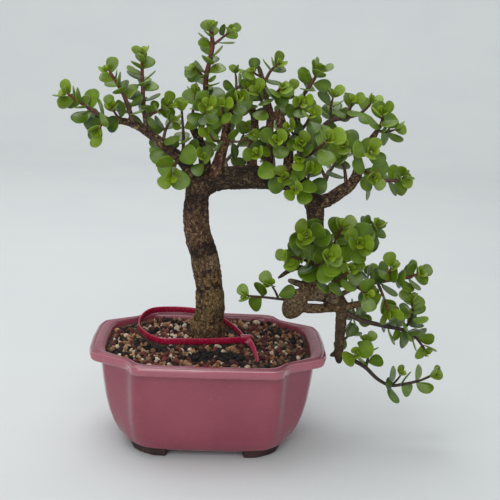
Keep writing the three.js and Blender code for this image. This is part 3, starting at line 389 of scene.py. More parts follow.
def pot_grid():
    """Grid of the pot, from the middle of its underside up the outside, over the lip and down the
    inside to the middle of its floor. Heights and outlines run straight between the levels and are
    eased. The arcs over the feet are pressed in, and the wall wavers a little."""
    stops = np.concatenate([[0], np.cumsum(POT_ROWS)])
    station = np.interp(np.arange(stops[-1] + 1), stops, np.arange(len(POT_LEVELS)))
    rows = np.stack([np.interp(station, range(len(POT_LEVELS)), column) for column in POT_LEVELS.T], -1)
    rows[2:-2] = (rows[1:-3] + 2 * rows[2:-2] + rows[3:-1]) / 4
    rings = np.stack([outline_of(row[1:]) for row in rows])
    heights = np.broadcast_to(rows[:, :1], rings.shape[:2])
    ahead = np.roll(rings, -1, 1) - np.roll(rings, 1, 1)
    outward = unit(np.stack([ahead[..., 1], -ahead[..., 0]], -1))
    is_outside = (station < OUTSIDE_LEVELS)[:, None]
    arc_height, on_foot = foot_arc(rings, outward)
    below = np.clip((arc_height - heights) / ARC_WIDTH, 0, 1)
    pressed = ARC_DEPTH * (is_outside * on_foot) * below * below * (3 - 2 * below)
    places = np.concatenate([rings, heights[..., None]], -1)
    waver = WAVER_HEIGHT * lattice_noise(places / WAVER_SIZE, 3)
    rings = rings + outward * (waver - pressed)[..., None]
    grid = np.concatenate([rings, heights[..., None]], -1)
    under = [grid[0] * (share, share, 1) for share in DISC_SHARES]
    floor = [grid[-1] * (share, share, 1) for share in reversed(DISC_SHARES)]
    stations = np.concatenate([np.zeros(len(under)), station, np.full(len(floor), station[-1])])
    disc_rows = (len(DISC_SHARES), len(DISC_SHARES))
    return np.concatenate([under, grid, floor]), stations, np.pad(pressed, (disc_rows, (0, 0)))


def closed_faces(rows, columns):
    """Faces of a grid of rings closed by a pole at each end: quads, then the two fans of triangles.
    The poles are numbered after the grid, first end before last."""
    first = np.arange(columns)
    last = first + (rows - 1) * columns
    pole = np.full(columns, rows * columns)
    start = np.stack([pole, np.roll(first, -1), first], -1)
    end = np.stack([last, np.roll(last, -1), pole + 1], -1)
    return ring_faces(rows, columns).tolist() + start.tolist() + end.tolist()


def with_poles(grid):
    """Points of one grid of rings, or of many, with the middles of the end rings added as poles."""
    flat = grid.reshape(*grid.shape[:-3], -1, grid.shape[-1])
    return np.concatenate([flat, grid[..., :1, :, :].mean(-2), grid[..., -1:, :, :].mean(-2)], -2)


def note(piece, name, values, kind="FLOAT"):
    """Writes one value, or one vector, for each point of a piece, for its material to read."""
    key = "value" if kind == "FLOAT" else "vector"
    attribute = piece.data.attributes.new(name, kind, "POINT")
    attribute.data.foreach_set(key, np.asarray(values, np.float32).ravel())


def noted(tree, name):
    """Value noted for each point."""
    return add_node(tree, "ShaderNodeAttribute", attribute_name=name).outputs["Fac"]


def combine(tree, operation, first, second=0.0):
    """Sum, difference or other combination of two values."""
    return add_node(tree, "ShaderNodeMath", {0: first, 1: second}, operation=operation).outputs[0]


def product(tree, first, second):
    """Two values multiplied."""
    return combine(tree, "MULTIPLY", first, second)


def layered(tree, colour, layers):
    """Colour under thin layers, each a share from 0 to 1 and the 0 to 255 colour that it lays on."""
    for share, over in layers:
        colour = blend_of(tree, share, colour, paint(*over))
    return colour


def bump_of(tree, height, distance, strength=1.0):
    """Normals of a surface raised by a height map, over a distance in metres."""
    values = {"Height": height, "Distance": distance, "Strength": strength}
    return add_node(tree, "ShaderNodeBump", values).outputs["Normal"]


def glaze_finish():
    """Mauve gloss glaze: cloudy, with specks, painted paler on the lip as painted light and with a
    painted highlight along its outer edge, thin and brown on the other edges and pooled darker in the
    pressed arcs."""
    material, tree, shader = new_finish("mauve_glaze")
    place = object_place(tree)
    cloud = mottle(tree, place, 28.0, 0.3, 0.7)
    fine = mottle(tree, place, 420.0, 0.3, 0.9)
    lip, thin = noted(tree, "lip_light_and_gloss"), noted(tree, "thin_glaze")
    lip_edge = span_of(tree, lip, 0.65, 1.0, 0.0, 0.6)
    edge_highlight = product(tree, lip_edge, span_of(tree, cloud, 0.0, 1.0, 0.4, 1.0))
    worn = product(tree, thin, span_of(tree, cloud, 0.0, 1.0, 0.55, 0.95))
    cells = {"Vector": place, "Scale": 150.0, "Randomness": 1.0}
    specks = add_node(tree, "ShaderNodeTexVoronoi", cells)
    near = span_of(tree, specks.outputs["Distance"], 0.035, 0.075, 1.0, 0.0)
    speck = product(tree, near, span_of(tree, specks.outputs["Color"], 0.73, 0.77))
    colour = blend_of(tree, cloud, paint(132, 54, 72), paint(144, 64, 81))
    colour = layered(tree, colour, (
        (product(tree, fine, 0.14), (152, 84, 98)),
        # Painted light on the lip, then a painted highlight along its outer edge.
        (lip, (170, 88, 104)),
        (edge_highlight, (212, 158, 168)),
        (worn, (84, 46, 48)),
        (noted(tree, "pooled_glaze"), (88, 40, 52)),
        (speck, (72, 38, 44)),
    ))
    rough = combine(tree, "ADD", 0.22, product(tree, fine, 0.08))
    dents = combine(tree, "SUBTRACT", product(tree, cloud, 0.8), speck)
    feed(tree, shader, {
        "Base Color": colour,
        "Roughness": combine(tree, "ADD", rough, product(tree, thin, 0.2)),
        "Coat Weight": span_of(tree, lip, 0.0, 0.6, 0.3, 1.0),
        "Coat Roughness": 0.1,
        "Normal": bump_of(tree, dents, 0.0002, 0.3),
    })
    return material


def shaped_mesh(piece):
    """New mesh of a piece, with its modifiers applied."""
    shaped = piece.evaluated_get(bpy.context.evaluated_depsgraph_get())
    return bpy.data.meshes.new_from_object(shaped)


def drilled(piece, x):
    """Drills a drain hole through the pot's floor: an exact Boolean with a round bar, kept for good."""
    turn = turns(DRAIN_COLUMNS)
    circle = np.stack([x + DRAIN_RADIUS * np.cos(turn), DRAIN_RADIUS * np.sin(turn)], -1)
    bar = np.stack([np.insert(circle, 2, height, axis=1) for height in DRILL_ENDS])
    drill = new_piece("drill", with_poles(bar), closed_faces(len(bar), DRAIN_COLUMNS), [])
    step = piece.modifiers.new("drain", "BOOLEAN")
    step.operation = "DIFFERENCE"
    step.solver = "EXACT"
    step.object = drill
    mesh = shaped_mesh(piece)
    piece.modifiers.clear()
    piece.data = mesh
    bpy.data.objects.remove(drill)


pot_points, pot_station, pot_pressed = pot_grid()
pot_faces = closed_faces(*pot_points.shape[:2])
pot = new_piece("glazed_pot", with_poles(pot_points), pot_faces, [glaze_finish()])
thin_rows = sum(bell(pot_station, at, THIN_GLAZE_SPREAD) for at in THIN_GLAZE_LEVELS)
lip_reach = np.minimum(pot_station - LIP_LOWEST_LEVEL, LIP_INNER_LEVEL - pot_station)
# Share of the lip: painted light, a painted highlight band at its outer edge, and more coat.
lip_rows = LIP_LIGHT * np.clip(lip_reach, 0, 1)
lip_rows += LIP_EDGE_HIGHLIGHT * bell(pot_station, LIP_EDGE_LEVEL, LIP_EDGE_SPREAD)
for name, shares in (
    ("thin_glaze", np.clip(thin_rows, 0, 1)[:, None]),
    ("lip_light_and_gloss", lip_rows[:, None]),
    ("pooled_glaze", pot_pressed / ARC_DEPTH),
):
    note(pot, name, np.append(np.broadcast_to(shares, pot_points.shape[:2]), (0, 0)))
for end in (-1, 1):
    drilled(pot, end * DRAIN_FROM_MIDDLE)
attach(pot, "root")
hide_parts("pot")


# The feet
# Four corner feet of bare brown clay, fired in one with the pot. Each is an angled bar that follows
# the notched corner, rounded along its edges and at its ends.
FOOT_SIZES = np.array([64.6, 46.0, 48.4, 28.4])
FOOT_WIDTH = 11.0
FOOT_SECTION = 24
FOOT_SQUARENESS = 0.38
FOOT_END_SHARES = (0.3, 0.55, 0.85, 0.97)
FOOT_END_STEP = 0.5
FOOT_INTO_POT = 0.6
FOOT_ROUND_LENGTH = 1.5


def squared(values, power):
    """Values from -1 to 1 drawn outwards by a power. Of cosines and sines it squares a circle off."""
    return np.sign(values) * np.abs(values) ** power


def foot_grid():
    """Bar carried along the middle line of a corner foot. Its section is a superellipse, and it
    shrinks in steps towards each end."""
    middle = quarter_of(FOOT_SIZES - FOOT_WIDTH / 2)
    is_foot = (middle - (FOOT_GAP_FRONT, FOOT_GAP_SIDE) > FOOT_ROUND_LENGTH).all(1)
    kept = middle[is_foot]
    ahead = unit(np.gradient(kept, axis=0))
    steps = FOOT_END_STEP * np.arange(1, len(FOOT_END_SHARES) + 1)[:, None]
    before = kept[0] - steps[::-1] * ahead[0]
    after = kept[-1] + steps * ahead[-1]
    path = np.concatenate([before, kept, after])
    ahead = unit(np.gradient(path, axis=0))
    outward = np.stack([ahead[:, 1], -ahead[:, 0]], -1)
    size = np.concatenate([FOOT_END_SHARES, np.ones(len(kept)), FOOT_END_SHARES[::-1]])[:, None]
    turn = turns(FOOT_SECTION)
    aside = size * squared(np.cos(turn), FOOT_SQUARENESS) * FOOT_WIDTH / 2
    plan = path[:, None] + outward[:, None] * aside[..., None]
    top = foot_arc(path, outward)[0][:, None] + FOOT_INTO_POT
    up = TABLE_HEIGHT + (top - TABLE_HEIGHT) / 2 * (1 + size * squared(np.sin(turn), FOOT_SQUARENESS))
    return np.concatenate([plan, up[..., None]], -1)


def clay_finish():
    """Dark brown stoneware without glaze: gritty, darker where it is damp."""
    material, tree, shader = new_finish("bare_clay")
    place = object_place(tree)
    damp = mottle(tree, place, 90.0, 0.35, 0.65)
    grit = mottle(tree, place, 1500.0, 0.5, 0.62)
    colour = blend_of(tree, damp, paint(40, 25, 24), paint(62, 40, 37))
    feed(tree, shader, {
        "Base Color": layered(tree, colour, [(product(tree, grit, 0.4), (98, 72, 64))]),
        "Roughness": 0.8,
        "Normal": bump_of(tree, grit, 0.0003, 0.7),
    })
    return material


def shifted(faces, start):
    """Faces whose points are numbered from a start."""
    return [[start + corner for corner in face] for face in faces]


foot = foot_grid()
foot_points, foot_faces = with_poles(foot), closed_faces(*foot.shape[:2])
feet_points, feet_faces = [], []
for side_x, side_y in ((1, 1), (-1, 1), (-1, -1), (1, -1)):
    facing_out = [face[::-side_x * side_y] for face in foot_faces]
    feet_faces += shifted(facing_out, len(feet_points) * len(foot_points))
    feet_points.append(foot_points * (side_x, side_y, 1))
feet = new_piece("pot_feet", np.concatenate(feet_points), feet_faces, [clay_finish()])
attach(feet, "root")
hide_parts("pot")


# The drain screens
# A square of black plastic mesh lies over each drain hole, under the soil. The moulded shape stays as
# it is and gets a dull, dusty plastic.
def screen_finish():
    """Black polythene, greyed by dried soil water."""
    material, tree, shader = new_finish("screen_polythene")
    dust = mottle(tree, object_place(tree), 260.0, 0.4, 0.7)
    feed(tree, shader, {
        "Base Color": blend_of(tree, dust, paint(38, 38, 40), paint(78, 70, 62)),
        "Roughness": span_of(tree, dust, 0.0, 1.0, 0.4, 0.8),
        "Normal": bump_of(tree, dust, 0.0001),
    })
    return material


screen_plastic = screen_finish()
for screen_name in ("drain_screen_left", "drain_screen_right"):
    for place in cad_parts[screen_name].material_slots:
        place.material = screen_plastic


# The soil bed
# Fine bonsai grit fills the pot to a few millimetres under the rim, and rises a little round the
# trunk. The coarser granules lie on it.
BED_HEIGHT = 75.6
BED_MOUND = 1.2
BED_MOUND_REACH = 24.0
BED_MOUND_AT = np.array([-3.0, 14.0])
BED_GRAIN = 1.7
BED_RELIEF = 0.45
BED_SHARES = np.concatenate([np.linspace(0.02, 0.999, 62), [1.0, 0.985, 0.95, 0.9, 0.4]])
BED_TOP_ROWS = 63
BED_BRIM = np.array([80.4, 59.4, 50.3, 40.3])
BED_FOOT = np.array([61.5, 40.5, 31.5, 21.5])
BED_RING_DROP = 9
BED_BOTTOM = 11.8


def bed_height(x, y):
    """Height of the bed: level, with a bell-shaped mound at the trunk and slow waves."""
    away = ((x - BED_MOUND_AT[0]) ** 2 + (y - BED_MOUND_AT[1]) ** 2) / BED_MOUND_REACH**2
    waves = 0.5 * lattice_noise(np.stack([x / 15, y / 15, 0 * x], -1), 11)
    return BED_HEIGHT + BED_MOUND * np.exp(-away) + waves


def bed_grid():
    """Grid from the middle of the top out to the wall, down it and back to the middle of the bottom.
    The top has the grit's relief, and the rings shrink from the brim's outline to the foot's."""
    brim, foot_ring = outline_of(BED_BRIM), outline_of(BED_FOOT)
    shares = BED_SHARES[:, None, None]
    rings = brim[None] * shares
    rings[BED_TOP_ROWS + 1:] = foot_ring[None] * shares[BED_TOP_ROWS + 1:]
    x, y = rings[..., 0], rings[..., 1]
    places = np.stack([x, y, 0 * x], -1) / BED_GRAIN
    heights = bed_height(x, y) + BED_RELIEF * lattice_noise(places, 5)
    heights += BED_RELIEF * 0.5 * lattice_noise(places * 2.3, 6)
    heights[BED_TOP_ROWS] = BED_HEIGHT - BED_RING_DROP
    heights[BED_TOP_ROWS + 1:] = BED_BOTTOM
    return np.concatenate([rings, heights[..., None]], -1)


def grit_finish():
    """Brown grit with pale and rusty grains in it."""
    material, tree, shader = new_finish("fine_grit")
    place = object_place(tree)
    grains = add_node(tree, "ShaderNodeTexVoronoi", {"Vector": place, "Scale": 620.0}).outputs
    pale = span_of(tree, grains["Color"], 0.45, 0.75)
    damp = product(tree, mottle(tree, place, 55.0, 0.35, 0.62), 0.6)
    colour = blend_of(tree, pale, paint(34, 24, 18), paint(96, 72, 48))
    feed(tree, shader, {
        "Base Color": layered(tree, colour, [(damp, (22, 16, 12))]),
        "Roughness": 0.9,
        "Normal": bump_of(tree, grains["Distance"], 0.0006),
    })
    return material


bed_points = bed_grid()
bed_faces = [face[::-1] for face in closed_faces(*bed_points.shape[:2])]
bed = new_piece("soil_bed", with_poles(bed_points), bed_faces, [grit_finish()])
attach(bed, "root")
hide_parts("soil")


# The granules
# Baked clay, pumice and lava, crushed and sieved to 2.5 to 6 mm, cover the bed two or three deep. The
# clay is tan and ochre, the pumice almost white and the lava red-brown or black.
GRANULE_SPACING = 3.3
UPPER_SPACING = 5.4
GRANULE_RADII = (1.1, 2.4)
UPPER_RADII = (1.4, 2.9)
GRANULE_RINGS = 5
GRANULE_SIDES = 7
GRANULE_WALL_ROOM = 2.0
ROW_SPACING = 0.87
JITTER = 0.35
SPREAD_STEPS = 14
SPREAD_FORCE = 0.35
CLOSEST = 0.86
TRUNK_CLEAR = 12.5
TAG_CLEAR = 2.6
TAG_DIP = 1.7
TAG_DIP_REACH = 4
WET_KIND = 0.75
WET_SHARE = 0.92
TAN_KIND = 0.95
# Painted shade: on the right side, pale granules are swapped for tan ones and all tones grow darker.
SHADED_SIDE_FROM = 14.0
SHADED_SIDE_SHARE = 0.5
WET_PATCHES = ((6.0, -34.0, 21.0, 12.0), (-44.0, -19.0, 12.0, 6.0))
TAG_RING = [
    (29, -1, 80.5), (20, 25, 81.2), (3, 50, 82.8), (-14, 61, 83), (-34, 63, 83), (-51, 57, 82.9),
    (-58.5, 39, 81.6), (-57, 15, 80.3), (-41, -9, 80.2), (-18, -10, 80.2), (8, -7, 80.2),
    (29, -2, 80.5),
]
TAG_TAIL = [(30, -2, 80.5), (33.5, -10, 80.2), (36, -27, 80), (38, -49, 80)]
GRANULE_KINDS = (
    ("clay", 0.27, 0.35, (212, 162, 118), (112, 74, 46)),
    ("pumice", 0.39, 0.3, (252, 238, 216), (176, 150, 122)),
    ("rusty_lava", 0.6, 0.4, (134, 66, 54), (64, 28, 26)),
    ("dark_lava", 0.87, 0.3, (36, 27, 24), (12, 9, 8)),
    ("tan_grit", 1.0, 0.3, (150, 118, 90), (74, 56, 42)),
)


def even_curve(route, t):
    """Points of a smooth curve through a route, at shares of it from 0 to 1. Each span is a cubic that
    leaves a corner in the direction from the corner before to the corner after."""
    p = np.asarray(route, float)
    spans = len(p) - 1
    full = np.concatenate([[2 * p[0] - p[1]], p, [2 * p[-1] - p[-2]]])
    x = np.clip(np.atleast_1d(t), 0, 1) * spans
    i = np.minimum(x.astype(int), spans - 1)
    w = (x - i)[:, None]
    before, start, end, after = full[i], full[i + 1], full[i + 2], full[i + 3]
    leave, arrive = (end - before) / 2, (after - start) / 2
    first_half = (2 * w**3 - 3 * w**2 + 1) * start + (w**3 - 2 * w**2 + w) * leave
    return first_half + (3 * w**2 - 2 * w**3) * end + (w**3 - w**2) * arrive


def scattered(rng, spacing, radii):
    """Places and radii of granules: a jittered grid over the bed, pushed apart where they overlap and
    held inside the wall and out of the trunk."""
    columns = np.arange(-80, 81, spacing)
    rows = np.arange(-60, 61, spacing * ROW_SPACING)
    x, y = np.meshgrid(columns, rows)
    x = x + (np.arange(len(rows)) % 2)[:, None] * spacing / 2
    places = np.stack([x.ravel(), y.ravel()], -1)
    places += rng.uniform(-JITTER, JITTER, places.shape) * spacing
    ring = outline_of(BED_BRIM - GRANULE_WALL_ROOM)
    bearing = np.arctan2(ring[:, 1], ring[:, 0])
    order = np.argsort(bearing)
    reach = np.linalg.norm(ring, axis=1)
    size = radii[0] + (radii[1] - radii[0]) * rng.random(len(places)) ** 1.6
    for _ in range(SPREAD_STEPS):
        gap = places[:, None] - places[None]
        far = np.linalg.norm(gap, axis=-1) + 1e-6
        push = np.clip(CLOSEST * (size[:, None] + size[None]) - far, 0, None)
        np.fill_diagonal(push, 0)
        places = places + SPREAD_FORCE * (push[..., None] * gap / far[..., None]).sum(1)
    own_bearing = np.arctan2(places[:, 1], places[:, 0])
    wall = np.interp(own_bearing, bearing[order], reach[order], period=2 * np.pi)
    inside = np.linalg.norm(places, axis=1) < wall - size * 0.5
    clear = np.linalg.norm(places - BED_MOUND_AT, axis=1) > TRUNK_CLEAR + size * 0.3
    return places[inside & clear], size[inside & clear]


def far_from_tag(places):
    """Distance of each place from the middle of the tag's strap, which lies on the lower granules."""
    steps = np.linspace(0, 1, 160)
    strap = np.concatenate([even_curve(route, steps) for route in (TAG_RING, TAG_TAIL)])
    return np.linalg.norm(places[:, None] - strap[None, :, :2], axis=-1).min(1)


def ball_grid(rings, sides):
    """Rings of a ball of radius one from its foot to its head, without the two poles."""
    lift, turn = np.meshgrid(np.linspace(0, np.pi, rings + 2)[1:-1], turns(sides), indexing="ij")
    return np.stack([np.sin(lift) * np.cos(turn), np.sin(lift) * np.sin(turn), -np.cos(lift)], -1)


def granule_shapes(rng, count):
    """A ball for each granule, dented by noise, stretched by different amounts along its three axes
    and turned at random."""
    ball = ball_grid(GRANULE_RINGS, GRANULE_SIDES)[None]
    own = np.arange(count)[:, None, None, None] * 7.3
    dents = lattice_noise(ball * 1.5 + own, 21) * 0.24 + lattice_noise(ball * 3.1 + own, 22) * 0.1
    shape = ball * (1 + dents)[..., None]
    shape = shape * rng.uniform((0.9, 0.7, 0.5), (1.3, 1.0, 0.85), (count, 3))[:, None, None]
    spin = np.linalg.qr(rng.normal(size=(count, 3, 3)))[0]
    spin *= np.sign(np.linalg.det(spin))[:, None, None]
    return np.einsum("nij,nrsj->nrsi", spin, shape)


def granule_finish(kind, blotch, light, dark):
    """Crumbly stone, each granule with a tone of its own between a light and a dark colour."""
    material, tree, shader = new_finish(kind + "_granule")
    place = object_place(tree)
    patch = mottle(tree, place, 700.0, 0.3, 0.7)
    share = combine(tree, "ADD", noted(tree, "tone"), product(tree, patch, blotch))
    colour = blend_of(tree, span_of(tree, share, 0.0, 1.0 + blotch), paint(*light), paint(*dark))
    pores = mottle(tree, place, 2200.0, 0.3, 0.5, 2.0)
    dusk = blend_of(tree, 0.55, paint(*dark), paint(24, 18, 14))
    feed(tree, shader, {
        "Base Color": blend_of(tree, span_of(tree, pores, 0.0, 1.0, 0.7, 0.0), colour, dusk),
        "Roughness": 0.88,
        "Normal": bump_of(tree, pores, 0.0005, 0.8),
    })
    return material


def copied(faces, copies, points_each):
    """Faces of many like shapes whose points follow one another."""
    return [face for copy in range(copies) for face in shifted(faces, copy * points_each)]


granule_rng = np.random.default_rng(41)
lower, lower_size = scattered(granule_rng, GRANULE_SPACING, GRANULE_RADII)
upper, upper_size = scattered(granule_rng, UPPER_SPACING, UPPER_RADII)
on_top = far_from_tag(upper) > TAG_CLEAR + upper_size
upper, upper_size = upper[on_top], upper_size[on_top]
granule_at = np.concatenate([lower, upper])
granule_size = np.concatenate([lower_size, upper_size])
granule_lift = np.concatenate([0.1 * lower_size, 0.6 * upper_size + 0.4])
granule_lift -= TAG_DIP * bell(far_from_tag(granule_at), 0, TAG_DIP_REACH)
granule_height = bed_height(granule_at[:, 0], granule_at[:, 1]) + granule_lift
granule_middle = np.concatenate([granule_at, granule_height[:, None]], -1)
granule_shape = granule_shapes(granule_rng, len(granule_at)) * granule_size[:, None, None, None]
granule_tone = granule_rng.random(len(granule_at))
# Painted shade: granule tones grow darker towards the right side.
granule_tone += 0.6 * (1 - granule_tone) * np.clip((granule_at[:, 0] - 5) / 30, 0, 1)
patches = 0.5 + 0.5 * lattice_noise(np.insert(granule_at / 9, 2, 0.0, axis=1), 31)
granule_kind = np.clip(0.8 * granule_rng.random(len(granule_at)) + 0.2 * patches, 0, 0.999)
# Painted shade: on the right side, half the pale granules become tan grit.
is_pale_in_shade = (granule_kind > GRANULE_KINDS[0][1]) & (granule_kind < GRANULE_KINDS[1][1])
is_pale_in_shade &= (granule_at[:, 0] > SHADED_SIDE_FROM) & (granule_rng.random(len(granule_at)) < SHADED_SIDE_SHARE)
granule_kind[is_pale_in_shade] = TAN_KIND
for x, y, half_width, half_depth in WET_PATCHES:
    away = np.hypot((granule_at[:, 0] - x) / half_width, (granule_at[:, 1] - y) / half_depth)
    is_wet = (away < 1.0) & (granule_rng.random(len(granule_at)) < WET_SHARE)
    granule_kind[is_wet] = WET_KIND
granule_faces = closed_faces(GRANULE_RINGS, GRANULE_SIDES)
kind_from = 0.0
for kind, kind_to, blotch, light, dark in GRANULE_KINDS:
    chosen = (granule_kind >= kind_from) & (granule_kind < kind_to)
    kind_from = kind_to
    points = with_poles(granule_shape[chosen] + granule_middle[chosen][:, None, None])
    faces = copied(granule_faces, *points.shape[:2])
    finish = granule_finish(kind, blotch, light, dark)
    granules = new_piece("granules_" + kind, points.reshape(-1, 3), faces, [finish], smooth=False)
    note(granules, "tone", np.repeat(granule_tone[chosen], points.shape[1]))
    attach(granules, "root")
    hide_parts("soil")


# The wood
# One plant trained over many years: a short thick trunk that leans and carries a long limb, which
# arches over and hangs down the right side. The bark is brown, cracked in flecks along the wood and
# ringed where leaves once stood. Each limb is a route and its radii at even steps along it.
WOOD = (
    (
        [(-3, 14, 45), (-3, 14, 63), (-3, 14, 75), (-1, 14, 92), (0, 13, 108), (-3, 12, 130),
         (-8, 11, 152), (-13, 10, 170), (-14, 10, 187), (-12, 10, 202), (-8, 10, 214)],
        (9.5, 12.5, 15, 12.4, 11.6, 11.4, 10.8, 10.6, 10.4, 10.4, 7.5),
    ),
    (
        [(-10, 10, 200), (1, 10, 208), (20, 10, 211), (38, 11, 211), (55, 12, 210), (66, 12, 207),
         (75, 12, 200), (80, 12, 189), (82, 12, 175), (84, 13, 158), (85, 14, 143), (83, 12, 130),
         (75, 6, 118)],
        (8.5, 9.4, 9.3, 9.1, 8.7, 8.4, 7.8, 7.2, 6.9, 6.7, 6.6, 6.6, 6.8),
    ),
    (
        [(-12, 10, 203), (-25, 8, 222), (-37, 6, 232), (-51, 4, 243), (-66, 2, 251), (-83, 0, 253)],
        (5.4, 2.3),
    ),
    ([(-6, 10, 208), (-9, 12, 226), (-14, 13, 240), (-21, 14, 252)], (5, 3)),
    ([(-1, 8, 208), (4, 0, 229), (7, -4, 243), (8, -4, 255), (11, 0, 267), (14, 3, 277)], (5.2, 1.8)),
    ([(29, 12, 210), (29, 15, 232), (30, 16, 249), (29, 16, 260), (26, 17, 268)], (4.6, 2.4)),
    ([(42, 10, 211), (41, 6, 234), (41, 4, 251), (41, 3, 263), (37, 2, 274)], (4.2, 2.5)),
    ([(56, 10, 210), (57, 4, 230), (52, 0, 249), (45, -2, 266)], (4, 4.2)),
    ([(66, 13, 205), (68, 17, 227), (64, 18, 249), (63, 18, 268), (68, 16, 277)], (4, 2.1)),
    (
        [(78, 12, 192), (91, 10, 196), (100, 8, 203), (107, 6, 209), (111, 4, 217), (112, 3, 226),
         (110, 2, 236), (119, 0, 245), (125, -2, 256)],
        (6, 2.2),
    ),
    ([(76, 10, 120), (89, 10, 120), (101, 8, 117), (109, 6, 113)], (4.4, 4.2)),
    ([(62, 8, 129), (72, 8, 126), (87, 7, 123), (101, 7, 120)], (2.6, 3.2)),
    ([(73, 3, 107), (89, 4, 107), (106, 5, 108), (117, 4, 111), (128, 4, 114)], (4.2, 2.6)),
    ([(82, 12, 131), (72, 10, 139), (63, 8, 137), (54, 8, 130)], (3, 1.8)),
    ([(108, 6, 115), (107, 5, 99), (107, 4, 80), (107, 4, 68), (108, 4, 60)], (5.2, 4.6, 4, 3.9, 2.6)),
    ([(107, 4, 68), (103, 4, 68), (100, 4, 66)], (2.6, 1.9)),
    ([(70, 6, 118), (86, 8, 116), (104, 7, 113.5)], (5, 3.3)),
)
KNOB_MIDDLE = np.array([68.0, 3.0, 110.4])
KNOB_HALF_SIZES = (9.4, 7.6, 13.6)
KNOB_TILT = np.radians(24.0)
KNOB_REACH = 16.5
WOOD_SIDES = 20
WOOD_STEP = 2.5
WOOD_VOXEL = 0.8
EASE_TIMES = 6
FULL_RELIEF_RADIUS = 9
RELIEF_SHARES = (0.18, 1.1)
FLECK_LENGTH = 1.7
FLECK_WIDTH = 1.6
FLECK_DEPTH = 0.34
RING_SPACING = 8.5
RING_DEPTH = 0.55
RING_WAVER = 2.2
GRIT_SIZE = 1.1
GRIT_DEPTH = 0.34
SWELL_DEPTH = 0.8
ROOT_TOP = 92.0
ROOT_LOBES = 7
ROOT_DEPTH = 2.2
ROOT_WAVER = 2.2
ROOT_REACH = 16
LIMB_DOME = np.array([0.5, 0.82, 0.96])
PALE_LIMBS = (10, 11, 16)
# Limb 13 is darkened as painted shade.
DARK_LIMBS = (3, 13)
STUB_LIMBS = (14, 15)
RED_LIMB = 4
REDDISH_LIMBS = (5, 6, 7, 8)
LOWER_LIMBS_FROM = 10
BLEACHED_BELOW = 158
TAN_PATCH_AT = 143
SCAR_AT = 157
CUT_BAND_AT = 83
SHADED_ABOVE = 176


def level_value(values, t):
    """Values given at even steps, read at shares from 0 to 1 of the way."""
    return np.interp(t, np.linspace(0, 1, len(values)), values)


def direction_frame(route, t):
    """Tangent and two directions square to it. They start from the world axis that the route runs
    least along, made square to the tangent."""
    tangent = unit(even_curve(route, t + 0.01) - even_curve(route, t - 0.01))
    run = np.abs(np.subtract(route[-1], route[0]))
    axis = np.eye(3)[int(np.argmin(run))]
    normal = unit(axis - tangent * (tangent @ axis)[:, None])
    return tangent, normal, np.cross(tangent, normal)


def stem_grid(route, t, radii, sides):
    """Tube round a route: circles of the given radii, square to it."""
    _, normal, side = direction_frame(route, t)
    turn = turns(sides)[:, None]
    spokes = normal[:, None] * np.cos(turn) + side[:, None] * np.sin(turn)
    return even_curve(route, t)[:, None] + spokes * np.asarray(radii)[:, None, None]


def route_length(route):
    """Length along the straight spans of a route."""
    return np.linalg.norm(np.diff(np.asarray(route, float), axis=0), axis=1).sum()


def rounded_ends(radii):
    """Radii of a limb with its two ends drawn in to a dome."""
    radii[:3] *= LIMB_DOME
    radii[-3:] *= LIMB_DOME[::-1]
    return radii


def joined(grids):
    """Points and faces of closed grids, put into one mesh."""
    points, faces, first = [], [], 0
    for grid in grids:
        points.append(with_poles(grid))
        faces += shifted(closed_faces(*grid.shape[:2]), first)
        first += len(points[-1])
    return np.concatenate(points), faces


def knob_grid():
    """Ball stretched to the knob's half sizes and tilted in the plane of the picture."""
    x, y, z = np.moveaxis(ball_grid(18, 24) * KNOB_HALF_SIZES, -1, 0)
    cosine, sine = np.cos(KNOB_TILT), np.sin(KNOB_TILT)
    return np.stack([cosine * x + sine * z, y, cosine * z - sine * x], -1) + KNOB_MIDDLE


def fused(name, points, faces, voxel):
    """Mesh of overlapping closed shapes as one skin of small even squares, eased all over."""
    raw = new_piece(name + "_raw", points, faces, [])
    step = raw.modifiers.new("fuse", "REMESH")
    step.mode = "VOXEL"
    step.voxel_size = voxel * MM
    step = raw.modifiers.new("ease", "SMOOTH")
    step.factor = 0.5
    step.iterations = EASE_TIMES
    mesh = shaped_mesh(raw)
    bpy.data.objects.remove(raw)
    mesh.name = name
    return mesh


def read_vectors(source, key):
    """Places or directions of all the points of a mesh."""
    values = np.zeros(len(source) * 3, np.float32)
    source.foreach_get(key, values)
    return values.reshape(-1, 3).astype(float)


def wood_places(points):
    """Nearest limb of each point: its number, the way along it and round it, and its radius. The
    nearest is the one whose axis is closest once its own radius is taken off."""
    best = np.full(len(points), 1e9)
    limb = np.zeros(len(points), int)
    along, round_it, radius = np.zeros(len(points)), np.zeros(len(points)), np.ones(len(points))
    for number, (route, radii) in enumerate(WOOD):
        length = route_length(route)
        t = np.linspace(0, 1, max(8, int(length / 2)))
        axis = even_curve(route, t)
        _, normal, side = direction_frame(route, t)
        size = level_value(radii, t)
        for part in np.array_split(np.arange(len(points)), 24):
            gap = points[part][:, None] - axis[None]
            far = np.linalg.norm(gap, axis=-1) - size
            k = np.argmin(far, axis=1)
            rows = np.arange(len(part))
            near = far[rows, k] < best[part]
            chosen, k = part[near], k[near]
            spoke = gap[rows[near], k]
            best[chosen] = far[rows[near], k]
            limb[chosen] = number
            along[chosen] = t[k] * length
            round_it[chosen] = np.arctan2((spoke * side[k]).sum(-1), (spoke * normal[k]).sum(-1))
            radius[chosen] = size[k]
    return limb, along, round_it, radius


def on_knob(points):
    """One on the knob, falling to nothing a little way off it."""
    return np.exp(-((np.linalg.norm(points - KNOB_MIDDLE, axis=1) / KNOB_REACH) ** 4))


def bark_flecks(places):
    """Two sizes of noise, drawn towards its highs and lows."""
    return squared(lattice_noise(places, 51) + 0.7 * lattice_noise(places * 2.1, 52), 0.75)


